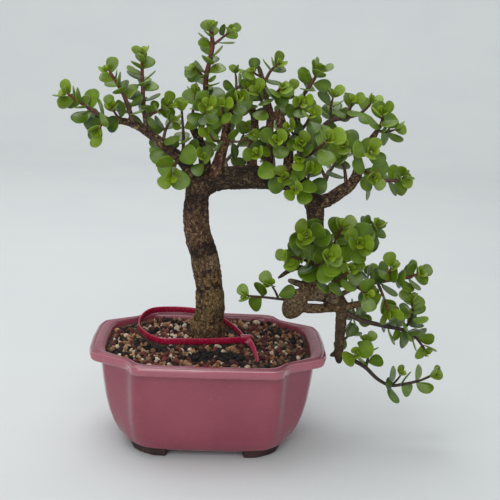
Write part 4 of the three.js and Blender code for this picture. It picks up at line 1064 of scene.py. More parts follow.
def bark_relief(points, limb, along, round_it, radius):
    """Height of the bark: flecks drawn out along the limb, creases across it, grit, and lobes at the
    foot of the trunk. All of it is lower on thin limbs. The knob has round flecks and no creases."""
    knob = on_knob(points)
    share = np.clip(radius / FULL_RELIEF_RADIUS, *RELIEF_SHARES)
    wrapped = np.stack([np.cos(round_it), np.sin(round_it)], -1) * (radius / FLECK_WIDTH)[:, None]
    places = np.stack([wrapped[:, 0], wrapped[:, 1], along / FLECK_LENGTH + limb * 17.0], -1)
    flecks = (1 - knob) * bark_flecks(places) + knob * bark_flecks(points / FLECK_WIDTH)
    waver = RING_WAVER * lattice_noise(points / 7, 53)
    rings = lattice_noise(np.stack([0 * along, limb * 9.0, (along + waver) / RING_SPACING], -1), 54)
    rings = bell(rings, 0, 0.09) * (1 - knob)
    grit = lattice_noise(points / GRIT_SIZE, 55)
    swell = lattice_noise(points / 11, 56)
    height = FLECK_DEPTH * flecks - RING_DEPTH * rings + GRIT_DEPTH * grit + SWELL_DEPTH * swell
    at_foot = np.clip((ROOT_TOP - points[:, 2]) / ROOT_REACH, 0, 1) * (limb == 0)
    lobes = np.cos(ROOT_LOBES * round_it + ROOT_WAVER * lattice_noise(points / 12, 57)) * ROOT_DEPTH
    return height * share + lobes * at_foot**1.5, flecks - rings


def noted_parts(tree, name):
    """The three values of a vector noted for each point."""
    vector = add_node(tree, "ShaderNodeAttribute", attribute_name=name).outputs["Vector"]
    return add_node(tree, "ShaderNodeSeparateXYZ", {0: vector}).outputs


def bark_finish():
    """Dry bark: purple-brown on the older upper wood, olive-brown lower down and pale grey-brown on the
    hanging bars, with raised tan flecks and dark cracks, and painted shade darkening the upper trunk,
    the arching limb and limb 13."""
    material, tree, shader = new_finish("bark")
    place = object_place(tree)
    relief = noted(tree, "relief")
    bleached, pale, dark = noted_parts(tree, "weather_and_shade")
    cloud = mottle(tree, place, 75.0, 0.35, 0.65)
    fine = mottle(tree, place, 1000.0, 0.4, 0.6)
    flake = mottle(tree, place, 700.0, 0.43, 0.58)
    upper = blend_of(tree, cloud, paint(70, 48, 40), paint(96, 68, 52))
    lower = blend_of(tree, cloud, paint(94, 72, 42), paint(126, 98, 58))
    raised = product(tree, span_of(tree, relief, -0.1, 0.9, 0.15, 1.0), flake)
    colour = layered(tree, blend_of(tree, bleached, upper, lower), (
        (pale, (140, 122, 100)),
        (noted(tree, "ruddy"), (104, 56, 42)),
        # Dark bark, with painted shade on the upper trunk, the arching limb and limb 13.
        (dark, (30, 22, 17)),
        (product(tree, raised, span_of(tree, dark, 0.0, 1.0, 0.9, 0.3)), (182, 156, 110)),
        (span_of(tree, relief, -0.2, -0.9, 0.0, 0.9), (34, 24, 20)),
        (product(tree, fine, 0.6), (38, 26, 19)),
    ))
    feed(tree, shader, {
        "Base Color": colour,
        "Roughness": span_of(tree, fine, 0.0, 1.0, 0.7, 0.92),
        "Specular IOR Level": 0.3,
        "Normal": bump_of(tree, combine(tree, "ADD", fine, flake), 0.0005, 0.7),
    })
    return material


def bark_weather_and_shade(points, limb):
    """How bleached, how pale and how dark the bark is at each point. The trunk is bleached below the
    middle, with a tan patch and a scar on its right, the hanging bars are pale, and a cut band at its
    foot and the dead stub are dark. The upper trunk, the arching limb and limb 13 are darkened as
    painted shade."""
    x, y, z = points.T
    on_trunk, knob = limb == 0, on_knob(points)
    is_stub = np.isin(limb, STUB_LIMBS)
    bleached = np.clip((BLEACHED_BELOW - z) / 40, 0, 1) * on_trunk
    bleached = bleached + 0.5 * (limb >= LOWER_LIMBS_FROM) * (1 - knob) + 0.5 * knob
    patch = bell(z, TAN_PATCH_AT, 6) * np.clip((x + 6) / 8, 0, 1) * on_trunk
    pale = 0.7 * np.isin(limb, PALE_LIMBS) + 0.12 * is_stub
    pale = np.clip(pale * (1 - knob) + 0.3 * knob + 0.5 * patch, 0, 1)
    band = bell(z, CUT_BAND_AT, 2.2) * on_trunk
    scar = bell(z, SCAR_AT, 5) * np.clip((x + 8) / 6, 0, 1) * on_trunk
    # Painted shade: the upper trunk and the arching limb darken upwards.
    shaded = np.clip((z - SHADED_ABOVE) / 24, 0, 1) * (0.4 * on_trunk + 0.78 * (limb == 1))
    dark = 0.6 * np.isin(limb, DARK_LIMBS) + is_stub * (0.5 + 0.3 * np.clip((78 - z) / 16, 0, 1))
    dark = np.clip(dark * (1 - knob) + 0.7 * band + 0.7 * scar + shaded, 0, 1)
    return np.stack([bleached, pale, dark], -1)


def bark_redness(points, limb):
    """How red the bark is: most on the young upright limbs, and a little at the foot of the trunk and
    above its middle."""
    trunk = 0.35 * bell(points[:, 2], 84, 9) + 0.3 * bell(points[:, 2], 168, 14)
    young = 0.65 * (limb == RED_LIMB) + 0.3 * np.isin(limb, REDDISH_LIMBS)
    return np.where(limb == 0, trunk, 0.0) + young


wood_grids = [knob_grid()]
for route, radii in WOOD:
    steps = np.linspace(0, 1, max(8, int(route_length(route) / WOOD_STEP)))
    wood_grids.append(stem_grid(route, steps, rounded_ends(level_value(radii, steps)), WOOD_SIDES))
wood_mesh = fused("bark_skin", *joined(wood_grids), WOOD_VOXEL)
wood_points = (read_vectors(wood_mesh.vertices, "co") - POT_MIDDLE) / MM
wood_limb, wood_along, wood_round, wood_radius = wood_places(wood_points)
wood_relief, wood_flecks = bark_relief(wood_points, wood_limb, wood_along, wood_round, wood_radius)
wood_points = wood_points + read_vectors(wood_mesh.vertex_normals, "vector") * wood_relief[:, None]
wood_mesh.vertices.foreach_set("co", in_frame(wood_points).astype(np.float32).ravel())
wood_mesh.polygons.foreach_set("use_smooth", [True] * len(wood_mesh.polygons))
wood_mesh.materials.append(bark_finish())
wood = put_out("trunk_and_limbs_bark", wood_mesh)
note(wood, "relief", wood_flecks * np.where(np.isin(wood_limb, STUB_LIMBS), 0.45, 1.0))
note(wood, "weather_and_shade", bark_weather_and_shade(wood_points, wood_limb), "FLOAT_VECTOR")
note(wood, "ruddy", bark_redness(wood_points, wood_limb))
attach(wood, "root")
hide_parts("trunk_and_limbs")


# The leafy stems
# Young twigs with pairs of thick, glossy, round leaves grow out of the limbs, each pair turned a quarter
# from the last. Each stem is a list of twigs, the first rooted in the wood and the others mostly in the
# first: a route, the radii at its ends, the pairs of leaves, their length and the first pair's turn.
SPRAYS = {
    "left_tip": [
        ([(-82, 0, 253), (-96, -3, 261), (-112, -8, 272)], (2.2, 1.2), 4, 16, 35),
        ([(-85, -1, 255), (-86, -9, 250), (-88, -18, 246)], (1.4, 1), 2, 16, 10),
        ([(-72, 1, 252), (-76, -6, 258), (-78, -13, 264)], (1.4, 1), 2, 13.5, 40),
    ],
    "left_red": [([(-63, 2, 250), (-70, -2, 271), (-81, -6, 290)], (2.4, 1.3), 4, 15, 30)],
    "left_fork": [
        ([(-51, 4, 243), (-54, 4, 250), (-56, 5, 262)], (2.8, 2), 0),
        ([(-56, 5, 261), (-57, 5, 280), (-58, 4, 303)], (2.3, 1.3), 5, 14, 55),
        ([(-56, 5, 256), (-46, 2, 260), (-37, -1, 266)], (1.5, 1), 3, 14, 60),
    ],
    "left_stack": [([(-41, 6, 235), (-39, 4, 246), (-35, 2, 254)], (1.7, 1.1), 3, 15, 40)],
    "left_mid": [([(-26, 8, 223), (-25, 6, 239), (-27, 3, 264)], (1.9, 1.1), 4, 14.5, 10)],
    "left_front": [([(-27, 7, 225), (-31, -10, 221), (-32, -25, 216)], (1.9, 1.2), 3, 17.5, 40)],
    "left_small": [([(-7, 10, 219), (-9, -2, 224), (-9, -12, 229)], (1.3, 1), 2, 12.5, 50)],
    "left_back": [([(-54, 4, 245), (-56, 24, 248), (-57, 40, 256)], (1.7, 1), 3, 13.5, 10)],
    "left_back_low": [([(-38, 6, 234), (-40, 26, 228), (-46, 44, 227)], (1.7, 1), 3, 13.5, 50)],
    "top_shoot": [
        (
            [(-14, 13, 240), (-10, 12, 256), (-9, 8, 271), (-9, 5, 288), (-5, 3, 310), (-7, 1, 325)],
            (3.2, 1.8), 6, 14, 30,
        ),
        ([(-4, 3, 312), (3, 1, 318), (8, -3, 322)], (1.3, 0.9), 2, 12.5, 80),
        ([(-9, 5, 286), (-14, 3, 291), (-17, 1, 294)], (1.3, 0.9), 2, 13, 20),
        ([(-10, 12, 256), (-8, -8, 262), (-7, -26, 269)], (1.7, 1.1), 3, 14, 30),
    ],
    "crown_left_high": [([(-20, 14, 251), (-18, 8, 264), (-16, 0, 276)], (1.7, 1.1), 3, 14.5, 30)],
    "crown_front": [([(8, -4, 254), (5, -14, 262), (4, -24, 270)], (1.7, 1.1), 3, 13.5, 0)],
    "crown_centre": [([(10, 0, 264), (13, -12, 270), (15, -22, 275)], (1.7, 1.1), 3, 14.5, 30)],
    "crown_dark": [([(9, 0, 261), (16, 8, 261), (22, 12, 264)], (1.7, 1.1), 2, 15, 10)],
    "crown_low_left": [([(5, -3, 241), (-1, -8, 241), (-5, -12, 247)], (1.3, 0.9), 2, 13, 60)],
    "crown_low_right": [([(8, -4, 241), (18, -6, 241), (26, -10, 245)], (1.3, 0.9), 2, 13, 20)],
    "crown_top": [
        ([(14, 3, 276), (14, 3, 285), (13, 2, 292)], (1.4, 1), 2, 11, 20),
        ([(15, 3, 280), (19, 10, 285), (22, 15, 290)], (1.3, 1), 2, 12, 60),
    ],
    "grey_tip": [([(26, 17, 267), (24, 12, 274), (22, 6, 281)], (1.9, 1.2), 3, 16, 30)],
    "grey_back": [([(29, 16, 256), (25, 34, 263), (21, 48, 271)], (1.7, 1), 3, 14, 10)],
    "red_fork": [
        ([(38, 2, 272), (35, 1, 284), (30, -1, 298)], (2.5, 2.3), 0),
        ([(35, 1, 285), (39, -1, 294), (44, -3, 300)], (1.7, 1), 3, 13, 40),
        ([(32, 0, 290), (28, -3, 292), (26, -6, 294)], (1.2, 0.9), 1, 11, 0),
        ([(37, 2, 276), (43, -6, 278), (47, -12, 283)], (1.7, 1.1), 3, 15.5, 10),
    ],
    "mid_left": [([(40, 3, 262), (34, -2, 271), (30, -8, 279)], (1.7, 1.1), 3, 15, 60)],
    "centre_rosette": [([(41, 5, 236), (43, -10, 240), (45, -24, 245)], (1.7, 1.1), 3, 14.5, 40)],
    "centre_low": [([(41, 7, 226), (36, -6, 229), (31, -16, 233)], (1.7, 1.1), 2, 15.5, 20)],
    "right_shoot": [([(67, 16, 277), (73, 14, 287), (78, 12, 297)], (2.1, 1.2), 4, 14, 0)],
    "tall_front": [
        ([(64, 18, 265), (60, 12, 273), (56, 6, 280)], (1.7, 1), 3, 13.5, 50),
        ([(63, 17, 266), (63, 0, 268), (63, -14, 273)], (1.7, 1.1), 3, 14, 10),
    ],
    "tall_yellow": [([(65, 17, 246), (68, -4, 256), (70, -20, 265)], (1.7, 1.1), 3, 13.5, 30)],
    "tall_inner": [([(65, 17, 240), (60, 0, 247), (55, -12, 253)], (1.7, 1.1), 3, 14.5, 50)],
    "bright_rosette": [([(69, 16, 226), (76, -10, 237), (83, -28, 248)], (2, 1.2), 3, 19, 15)],
    "tall_low": [
        ([(67, 16, 231), (66, -4, 237), (64, -18, 243)], (1.8, 1.1), 3, 15, 60),
        ([(66, 2, 236), (66, -6, 232), (64, -14, 231)], (1.5, 1.1), 2, 16, 0),
    ],
    "side_limb": [
        ([(67, 17, 235), (80, 14, 249), (89, 12, 258), (100, 10, 261), (112, 8, 265)], (3.2, 2.1), 0),
        ([(89, 12, 258), (88, 10, 268), (89, 7, 277)], (1.5, 1), 3, 14.5, 40),
        ([(100, 10, 261), (102, 5, 267), (103, 0, 274)], (1.5, 1), 3, 14, 10),
        ([(111, 8, 265), (115, 5, 269), (118, 2, 274)], (1.5, 1), 2, 13, 30),
        ([(89, 12, 257), (93, 28, 260), (96, 42, 262)], (1.7, 1), 3, 14, 0),
    ],
    "right_top": [([(125, -2, 255), (126, -5, 261), (125, -11, 267)], (1.8, 1.1), 3, 16, 30)],
    "right_end": [([(124, -2, 253), (131, -4, 253), (137, -5, 255)], (1.6, 1), 3, 13.5, 50)],
    "right_front": [([(111, 2, 233), (115, -8, 235), (117, -18, 239)], (1.7, 1.1), 3, 16, 70)],
    "right_inner": [([(110, 2, 234), (101, -8, 239), (96, -18, 243)], (1.7, 1.1), 3, 16, 20)],
    "right_low": [([(112, 3, 224), (118, -6, 221), (121, -16, 219)], (1.7, 1.1), 3, 15.5, 50)],
    "right_arm": [
        (
            [(111, 4, 215), (123, 3, 213), (133, 2, 214), (142, 0, 215), (148, -3, 218)],
            (2.8, 1.2), 4, 14, 20,
        ),
    ],
    "right_twig": [([(104, 7, 206), (102, 6, 219), (98, 0, 229)], (1.9, 1.4), 2, 14, 20)],
    "junction_left": [([(60, 10, 209), (56, -4, 213), (53, -14, 216)], (1.7, 1.1), 2, 15, 30)],
    "junction_right": [([(72, 10, 203), (72, -6, 214), (72, -16, 222)], (1.7, 1.1), 3, 16.5, 0)],
    "junction_low": [([(68, 10, 204), (64, -8, 207), (61, -20, 208)], (1.7, 1.1), 2, 14, 45)],
    "back_left": [
        ([(11, 12, 210), (9, 34, 214), (5, 50, 227)], (4, 2.2), 0),
        ([(5, 49, 225), (1, 58, 235), (-2, 64, 248)], (1.8, 1.1), 3, 14.5, 0),
        ([(8, 41, 218), (17, 52, 228), (23, 58, 240)], (1.8, 1.1), 3, 14.5, 40),
    ],
    "back_mid": [
        ([(45, 12, 210), (47, 36, 217), (46, 52, 230)], (4, 2.2), 0),
        ([(46, 51, 229), (50, 58, 242), (54, 60, 256)], (1.8, 1.1), 3, 14.5, 20),
        ([(46, 43, 222), (36, 54, 231), (30, 60, 243)], (1.8, 1.1), 3, 14.5, 60),
    ],
    "back_right": [
        ([(77, 14, 196), (88, 34, 202), (95, 48, 214)], (3.8, 2.2), 0),
        ([(95, 47, 212), (102, 54, 223), (107, 58, 236)], (1.8, 1.1), 3, 14.5, 30),
        ([(92, 41, 206), (86, 50, 220), (82, 55, 234)], (1.8, 1.1), 3, 14.5, 0),
    ],
    "cascade_left": [([(83, 13, 163), (76, -8, 169), (72, -20, 173)], (1.9, 1.2), 3, 19, 30)],
    "cascade_front": [
        ([(85, 13, 139), (87, -5, 148), (90, -18, 156)], (1.9, 1.2), 3, 18, 40),
        ([(86, 5, 143), (73, -3, 149), (60, -8, 153)], (1.7, 1.1), 4, 15.5, 10),
    ],
    "cascade_arm": [
        ([(85, 14, 147), (97, 14, 152), (108, 13, 159), (117, 11, 164)], (3, 2), 0),
        ([(96, 14, 152), (99, 8, 164), (102, 2, 176)], (1.7, 1.1), 3, 16.5, 20),
        ([(111, 12, 161), (114, -4, 164), (114, -14, 167)], (1.9, 1.2), 3, 18, 0),
        ([(116, 11, 164), (125, 10, 170), (131, 8, 177)], (1.6, 1), 3, 15, 20),
        ([(108, 13, 158), (115, 30, 156), (124, 44, 156)], (1.6, 1), 3, 14.5, 30),
    ],
    "cascade_low": [([(92, 10, 121), (102, -2, 134), (109, -13, 145)], (1.9, 1.2), 3, 17, 30)],
    "cascade_back": [([(85, 15, 148), (90, 34, 150), (95, 48, 154)], (1.8, 1), 4, 15, 0)],
    "red_arm": [
        (
            [(104, 8, 117), (117, 4, 126), (128, 2, 130),
             (140, 1, 133), (151, 0, 135), (160, -4, 139), (165, -8, 143)],
            (2.8, 1.1), 4, 16, 60,
        ),
        ([(139, 1, 133), (141, -3, 140), (142, -8, 147)], (1.4, 1), 2, 15.5, 30),
        ([(125, 3, 128), (130, 16, 129), (135, 28, 131)], (1.4, 1), 3, 13.5, 0),
        ([(134, 2, 131), (138, -8, 122), (142, -14, 112)], (1.6, 1), 3, 17.5, 20),
        ([(118, 4, 126), (121, -6, 126), (123, -14, 126)], (1.4, 1), 1, 16, 10),
    ],
    "slope_limb": [
        (
            [(108, 6, 105), (122, 3, 99), (135, 2, 96),
             (147, 1, 94), (159, 0, 92), (167, -3, 88), (176, -6, 78)],
            (3.2, 1.1), 4, 16.5, 30,
        ),
        ([(158, 0, 92), (163, -4, 105), (161, -7, 120)], (1.5, 1), 4, 15, 45),
        ([(116, 5, 101), (122, 24, 95), (128, 38, 94)], (1.7, 1), 3, 14.5, 30),
    ],
    "low_limb": [
        (
            [(108, 4, 67), (121, 2, 63), (130, 1, 58), (140, 0, 49),
             (151, -1, 44), (162, -2, 46), (175, -3, 50), (186, -5, 57)],
            (2.7, 1.1), 4, 16, 40,
        ),
        ([(152, -1, 44), (155, -6, 51), (157, -10, 57)], (1.3, 0.9), 2, 12, 20),
        ([(118, 3, 64), (118, -6, 70), (118, -14, 75)], (1.4, 1), 1, 17.5, 30),
        ([(130, 1, 58), (131, 1, 70), (129, 0, 82)], (1.6, 1), 3, 13.5, 20),
    ],
    "low_back": [([(108, 5, 78), (115, 22, 76), (122, 36, 77)], (1.7, 1), 2, 14, 30)],
    "bar_left": [
        ([(74, 5, 112), (46, 3, 115), (29, 0, 117)], (1.7, 1), 2, 14.5, 60),
        ([(55, 4, 114), (52, 0, 121), (48, -4, 128)], (1.3, 1), 2, 16, 20),
    ],
}

TWIG_REACH = 0.79
LEAF_HALF_WIDTH = 0.43
BROAD_TIP = 0.35
LEAF_CURL = 0.05
PAIR_SPACING = 0.6
FIRST_PAIR_AT = 0.2
LAST_PAIR_AT = 0.95
LONE_PAIR_AT = 0.88
LONE_PAIR_SHARE = 0.6
LONE_PAIR_STEP = 0.3
LOWEST_PAIR_AT = 0.1
LEAF_RISE = 14
LEAF_RISE_AT_TIP = 34
RISE_BEND = 1.4
TIP_SHRINK = 0.25
TURN_SPREAD = 16
RISE_SPREAD = 16
SIZE_SPREAD = 0.16
TWIST_SPREAD = 44
UPWARD_LEAN = 0.4
CROWN_MIDDLE_DEPTH = 18.0
ROOM_TO_WOOD = 1.2
ROOM_TO_OWN_TWIG = 0.15
ROOM_BESIDE_LEAF = 0.8
ROOM_OVER_LEAF = 1.9
NEAR_WOOD = (0.62, 1.2)
NEAR_LEAF = (0.56, 1.5)
WOOD_LENGTHS_PER_SPAN = 6
TWIG_LENGTHS_PER_SPAN = 4
DRAW_FACTOR = 16807
DRAW_LIMIT = 2147483647
RISE_TRIES = (0, 14, -14, 28)
FULL_STEMS = (
    "left_tip", "left_red", "left_fork", "top_shoot", "red_fork", "right_arm", "right_end", "right_shoot",
    "cascade_left", "cascade_front", "cascade_arm", "cascade_low", "red_arm", "slope_limb",
)
# Each set of pairs: how far behind the first set it stands, in pairs, the first state of its random
# numbers, the sizes and the turns that are tried, and its stems.
LEAF_SETS = (
    (0, 7919, (1, 0.88, 0.76, 0.64), (0, 12, -12, 24, -24), tuple(SPRAYS)),
    (0.5, 6007, (0.9, 0.8, 0.7, 0.6), (0, 20, -20, 40, -40), FULL_STEMS),
)
LEAF_STATIONS = np.array([0.015, 0.1, 0.24, 0.43, 0.64, 0.84, 0.97])
LEAF_SIDES = 8
LEAF_ROOT_HALF_WIDTH = 0.045
WIDTH_BEFORE_ROUNDING = 1.12
LENGTH_BEFORE_ROUNDING = 1.03
FLATTER_ABOVE = 0.62
PLUMP_FROM = 0.3
PLUMP_BEND = 0.6
PLUMP_LENGTH = 13
MIDRIB_DIP = 0.16
LEAF_CUP = 0.035
TIP_LEAF_LENGTHS = (0.44, 0.3)
TIP_LEAF_RISES = (50.0, 68.0)
TIP_TURN_SPREAD = 14
TIP_RISE_SPREAD = 8
TIP_LENGTH_SPREAD = (0.85, 1.1)
TIP_PAIR_STEP = 0.8
TIP_PAIR_DEPTH = 0.3
TWIG_SIDES = 6
TWIG_STEP = 2.2
TWIG_SIZE = 0.92
TWIG_END = 0.6
NODE_SWELLING = 0.16
NODE_WIDTH = 1.1
RED_STEMS = (
    "left_tip", "left_red", "left_fork", "top_shoot", "red_fork", "red_arm", "right_shoot", "cascade_arm",
)
DARK_STEMS = {
    "slope_limb": 0.5, "low_limb": 0.65, "low_back": 0.4, "bar_left": 0.3, "left_mid": 0.3,
}
LAST_PAIR_YOUTH = 0.42
TIP_PAIR_YOUTH = 0.66
YOUTH_SPREAD = (0.5, 1.1)
TONE_SPREAD = (0.5, 0.34)


def blade_half_width(along):
    """Half width of a leaf, as a share of its length: a half circle, fuller towards the tip."""
    c = 2 * np.asarray(along) - 1
    return np.sqrt(np.clip(1 - c * c, 0, None)) * (1 + BROAD_TIP * c) * LEAF_HALF_WIDTH


TEST_SPOTS = np.array([
    (along, across * blade_half_width(along))
    for along in (0.19, 0.33, 0.47, 0.61, 0.75, 0.88, 0.98)
    for across in (-0.92, -0.46, 0, 0.46, 0.92)
])


def even_draws(state):
    """Endless even random numbers from 0 to 1. Each state is the last one times a factor, of which only
    the remainder by the limit is kept."""
    while True:
        state = state * DRAW_FACTOR % DRAW_LIMIT
        yield state / DRAW_LIMIT


def lengths_of(route, radii, per_span):
    """Short straight lengths that stand for a limb or a twig: start, run and radius."""
    count = per_span * (len(route) - 1)
    points = even_curve(route, np.arange(count + 1) / count)
    size = level_value(radii, np.arange(count) / count)
    return np.concatenate([points[:-1], np.diff(points, axis=0), size[:, None]], axis=1)


def far_from(points, lengths):
    """Distance of each point from each straight length."""
    gap = points[:, None] - lengths[None, :, :3]
    run = lengths[:, 3:6]
    share = np.clip((gap * run).sum(-1) / (run * run).sum(-1), 0, 1)
    return np.linalg.norm(gap - share[..., None] * run, axis=-1)


def leaf_at(directions, root, turn, rise, length, twist):
    """Leaf on a twig: root, axis, face, direction across and length, in one row of numbers. The axis
    is raised from square to the twig, and the face leans up and out and is twisted about the axis."""
    tangent, normal, side = directions
    axis = (np.cos(turn) * normal + np.sin(turn) * side) * np.cos(rise) + tangent * np.sin(rise)
    face = unit(tangent - axis * (tangent @ axis))
    lean = np.array([0, -1.0 if root[1] < CROWN_MIDDLE_DEPTH else 1.0, UPWARD_LEAN])
    face = unit(face + lean - axis * (lean @ axis))
    face = face * np.cos(twist) + np.cross(axis, face) * np.sin(twist)
    return np.concatenate([root, axis, face, np.cross(face, axis), [length]])


def spots_of(leaf):
    """Points of a blade that are tested for room."""
    return leaf[:3] + leaf[12] * (TEST_SPOTS[:, :1] * leaf[3:6] + TEST_SPOTS[:, 1:] * leaf[9:12])


def lies_within(points, leaf):
    """True where a point is over a leaf's ellipse, a little grown, and near its plane."""
    offset = points - leaf[:3]
    room = ROOM_BESIDE_LEAF / leaf[12]
    along = (offset @ leaf[3:6] / leaf[12] - 0.5) / (0.5 + room)
    across = offset @ leaf[9:12] / leaf[12] / (LEAF_HALF_WIDTH + room)
    return bool(np.any((along**2 + across**2 < 1) & (np.abs(offset @ leaf[6:9]) < ROOM_OVER_LEAF)))


def has_room(leaf, lengths, own, leaves):
    """True where a leaf keeps clear of the wood, of every twig and of the leaves grown before it."""
    centre = leaf[:3] + leaf[12] * 0.5 * leaf[3:6]
    spots = spots_of(leaf)
    reach = lengths[:, 6] + NEAR_WOOD[0] * leaf[12] + NEAR_WOOD[1]
    near = far_from(centre[None], lengths)[0] <= reach
    room = lengths[near, 6] + np.where(own[near], ROOM_TO_OWN_TWIG, ROOM_TO_WOOD)
    if np.any(far_from(spots, lengths[near]) < room):
        return False
    if not leaves:
        return True
    others = np.array(leaves)
    apart = np.linalg.norm(others[:, :3] + others[:, 12:] * 0.5 * others[:, 3:6] - centre, axis=1)
    for k in np.nonzero(apart < NEAR_LEAF[0] * (others[:, 12] + leaf[12]) + NEAR_LEAF[1])[0]:
        if lies_within(spots, others[k]) or lies_within(spots_of(others[k]), leaf):
            return False
    return True


def pair_places(route, pairs, size):
    """Where along a twig its pairs of leaves stand: evenly, up to just short of its end."""
    if pairs == 1:
        return [LONE_PAIR_AT]
    first = max(FIRST_PAIR_AT, 1 - pairs * PAIR_SPACING * size / route_length(route))
    return [first + (LAST_PAIR_AT - first) * pair / (pairs - 1) for pair in range(pairs)]


def grown_pair(twig, t, share, roll, draws, tries, lengths, own, leaves):
    """Both leaves of a pair. A leaf that would touch anything is turned, raised or made smaller until it
    has room, and one that finds none is left out."""
    route, radii, _, size, _ = twig
    directions = [part[0] for part in direction_frame(route, t)]
    grown = []
    for flat in (roll, roll + 180):
        turn_draw, rise_draw, size_draw, twist_draw = (next(draws) - 0.5 for _ in range(4))
        rise = LEAF_RISE + LEAF_RISE_AT_TIP * share**RISE_BEND + RISE_SPREAD * rise_draw
        length = size * (1 - TIP_SHRINK * share**2) * (1 + SIZE_SPREAD * size_draw)
        twist = np.radians(TWIST_SPREAD * twist_draw)
        out = np.cos(np.radians(flat)) * directions[1] + np.sin(np.radians(flat)) * directions[2]
        root = even_curve(route, t)[0] + out * TWIG_REACH * level_value(radii, t)
        for shrink, lift, shift in tries:
            turn = np.radians(flat + TURN_SPREAD * turn_draw + shift)
            leaf = leaf_at(directions, root, turn, np.radians(rise + lift), length * shrink, twist)
            if has_room(leaf, lengths, own, leaves + grown):
                grown.append(leaf)
                break
    return grown


def grown_crown():
    """Leaves of every stem, and the stem and the way along the twig of each. Each pair is turned a
    quarter from the last. The fuller stems then get a second set of pairs between the first ones,
    turned half as far."""
    twigs = [(name, twig) for name, stem in SPRAYS.items() for twig in stem]
    parts = [lengths_of(route, radii, WOOD_LENGTHS_PER_SPAN) for route, radii in WOOD]
    owners = [np.full(sum(len(part) for part in parts), -1)]
    for number, (_, twig) in enumerate(twigs):
        parts.append(lengths_of(twig[0], twig[1], TWIG_LENGTHS_PER_SPAN))
        owners.append(np.full(len(parts[-1]), number))
    lengths, owners = np.concatenate(parts), np.concatenate(owners)
    leaves, stems, shares = [], [], []
    for behind, seed, shrinks, shifts, full_stems in LEAF_SETS:
        draws = even_draws(seed)
        tries = [(shrink, lift, shift) for shrink in shrinks for lift in RISE_TRIES for shift in shifts]
        for number, (name, twig) in enumerate(twigs):
            if twig[2] == 0 or name not in full_stems:
                continue
            places = pair_places(twig[0], twig[2], twig[3])
            step = places[1] - places[0] if twig[2] > 1 else LONE_PAIR_STEP
            for pair, t in enumerate(places):
                if t - behind * step < LOWEST_PAIR_AT:
                    continue
                share = max(0, pair - behind) / (twig[2] - 1) if twig[2] > 1 else LONE_PAIR_SHARE
                place = (t - behind * step, share, twig[4] + 90 * (pair - behind))
                grown = grown_pair(twig, *place, draws, tries, lengths, owners == number, leaves)
                leaves += grown
                stems += [name] * len(grown)
                shares += [share] * len(grown)
    return np.array(leaves), np.array(stems), np.array(shares)


def leaf_grids(leaves):
    """Grid of every leaf at once: rings square to its axis, from root to tip. The width is the blade's
    or, near the root, a wedge. The ring is flatter above than below, dips along the midrib, and the
    leaf curls towards its face with the square of the way along it. All of it is a little wider and
    longer than the leaf, as the rounding of the mesh draws it in again."""
    a = LEAF_STATIONS[:, None]
    turn = turns(LEAF_SIDES)
    is_above = np.sin(turn) > 0
    width = np.minimum(blade_half_width(a), LEAF_ROOT_HALF_WIDTH + a)
    length = leaves[:, 12][:, None, None]
    across = width * np.cos(turn) * length * WIDTH_BEFORE_ROUNDING
    plump = np.clip(width / LEAF_HALF_WIDTH, PLUMP_FROM, 1) ** PLUMP_BEND
    thick = np.where(is_above, FLATTER_ABOVE, 1.0) * np.sin(turn)
    scale = (length / PLUMP_LENGTH) ** PLUMP_BEND
    midrib = -MIDRIB_DIP * bell(np.cos(turn), 0, 0.3) * is_above * plump * scale
    cupped = LEAF_CUP * length * (across / (LEAF_HALF_WIDTH * length)) ** 2
    up = plump * thick * scale + midrib + cupped + LEAF_CURL * length * a**2
    along = LENGTH_BEFORE_ROUNDING * a * length + 0 * across
    root, axis, face, wide = (leaves[:, None, None, 3 * k:3 * k + 3] for k in range(4))
    points = root + along[..., None] * axis + across[..., None] * wide + up[..., None] * face
    blade = np.stack([along / length, across / length, np.broadcast_to(np.sin(turn), across.shape)], -1)
    return points, blade


def tip_leaves(rng, twig):
    """Two small pairs at the end of a twig, the last almost closed over the bud."""
    route, radii, pairs, size, roll = twig
    directions = [part[0] for part in direction_frame(route, 1.0)]
    end = even_curve(route, 1.0)[0] - directions[0] * TIP_PAIR_DEPTH
    rows = []
    for pair, (share, rise) in enumerate(zip(TIP_LEAF_LENGTHS, TIP_LEAF_RISES)):
        for half in (0, 1):
            turned = rng.uniform(-TIP_TURN_SPREAD, TIP_TURN_SPREAD)
            turn = np.radians(roll + 90 * (pairs + pair) + 180 * half + turned)
            tilt = np.radians(rise + rng.uniform(-TIP_RISE_SPREAD, TIP_RISE_SPREAD))
            length = share * size * rng.uniform(*TIP_LENGTH_SPREAD)
            out = np.cos(turn) * directions[1] + np.sin(turn) * directions[2]
            root = end + out * 0.5 * radii[1] + directions[0] * TIP_PAIR_STEP * pair
            rows.append(leaf_at(directions, root, turn, tilt, length, 0.0))
    return rows


def twig_grid(twig):
    """Tube of a twig, swollen at each pair of leaves and domed at its end."""
    route, radii = twig[:2]
    count = max(6, int(route_length(route) / TWIG_STEP))
    steps = np.linspace(0, 1, count)
    size = TWIG_SIZE * level_value(radii, steps)
    for t in pair_places(route, twig[2], twig[3]) if twig[2] else ():
        size = size * (1 + NODE_SWELLING * bell((steps - t) * count, 0, NODE_WIDTH))
    size[-1] *= TWIG_END
    return stem_grid(route, steps, size, TWIG_SIDES)


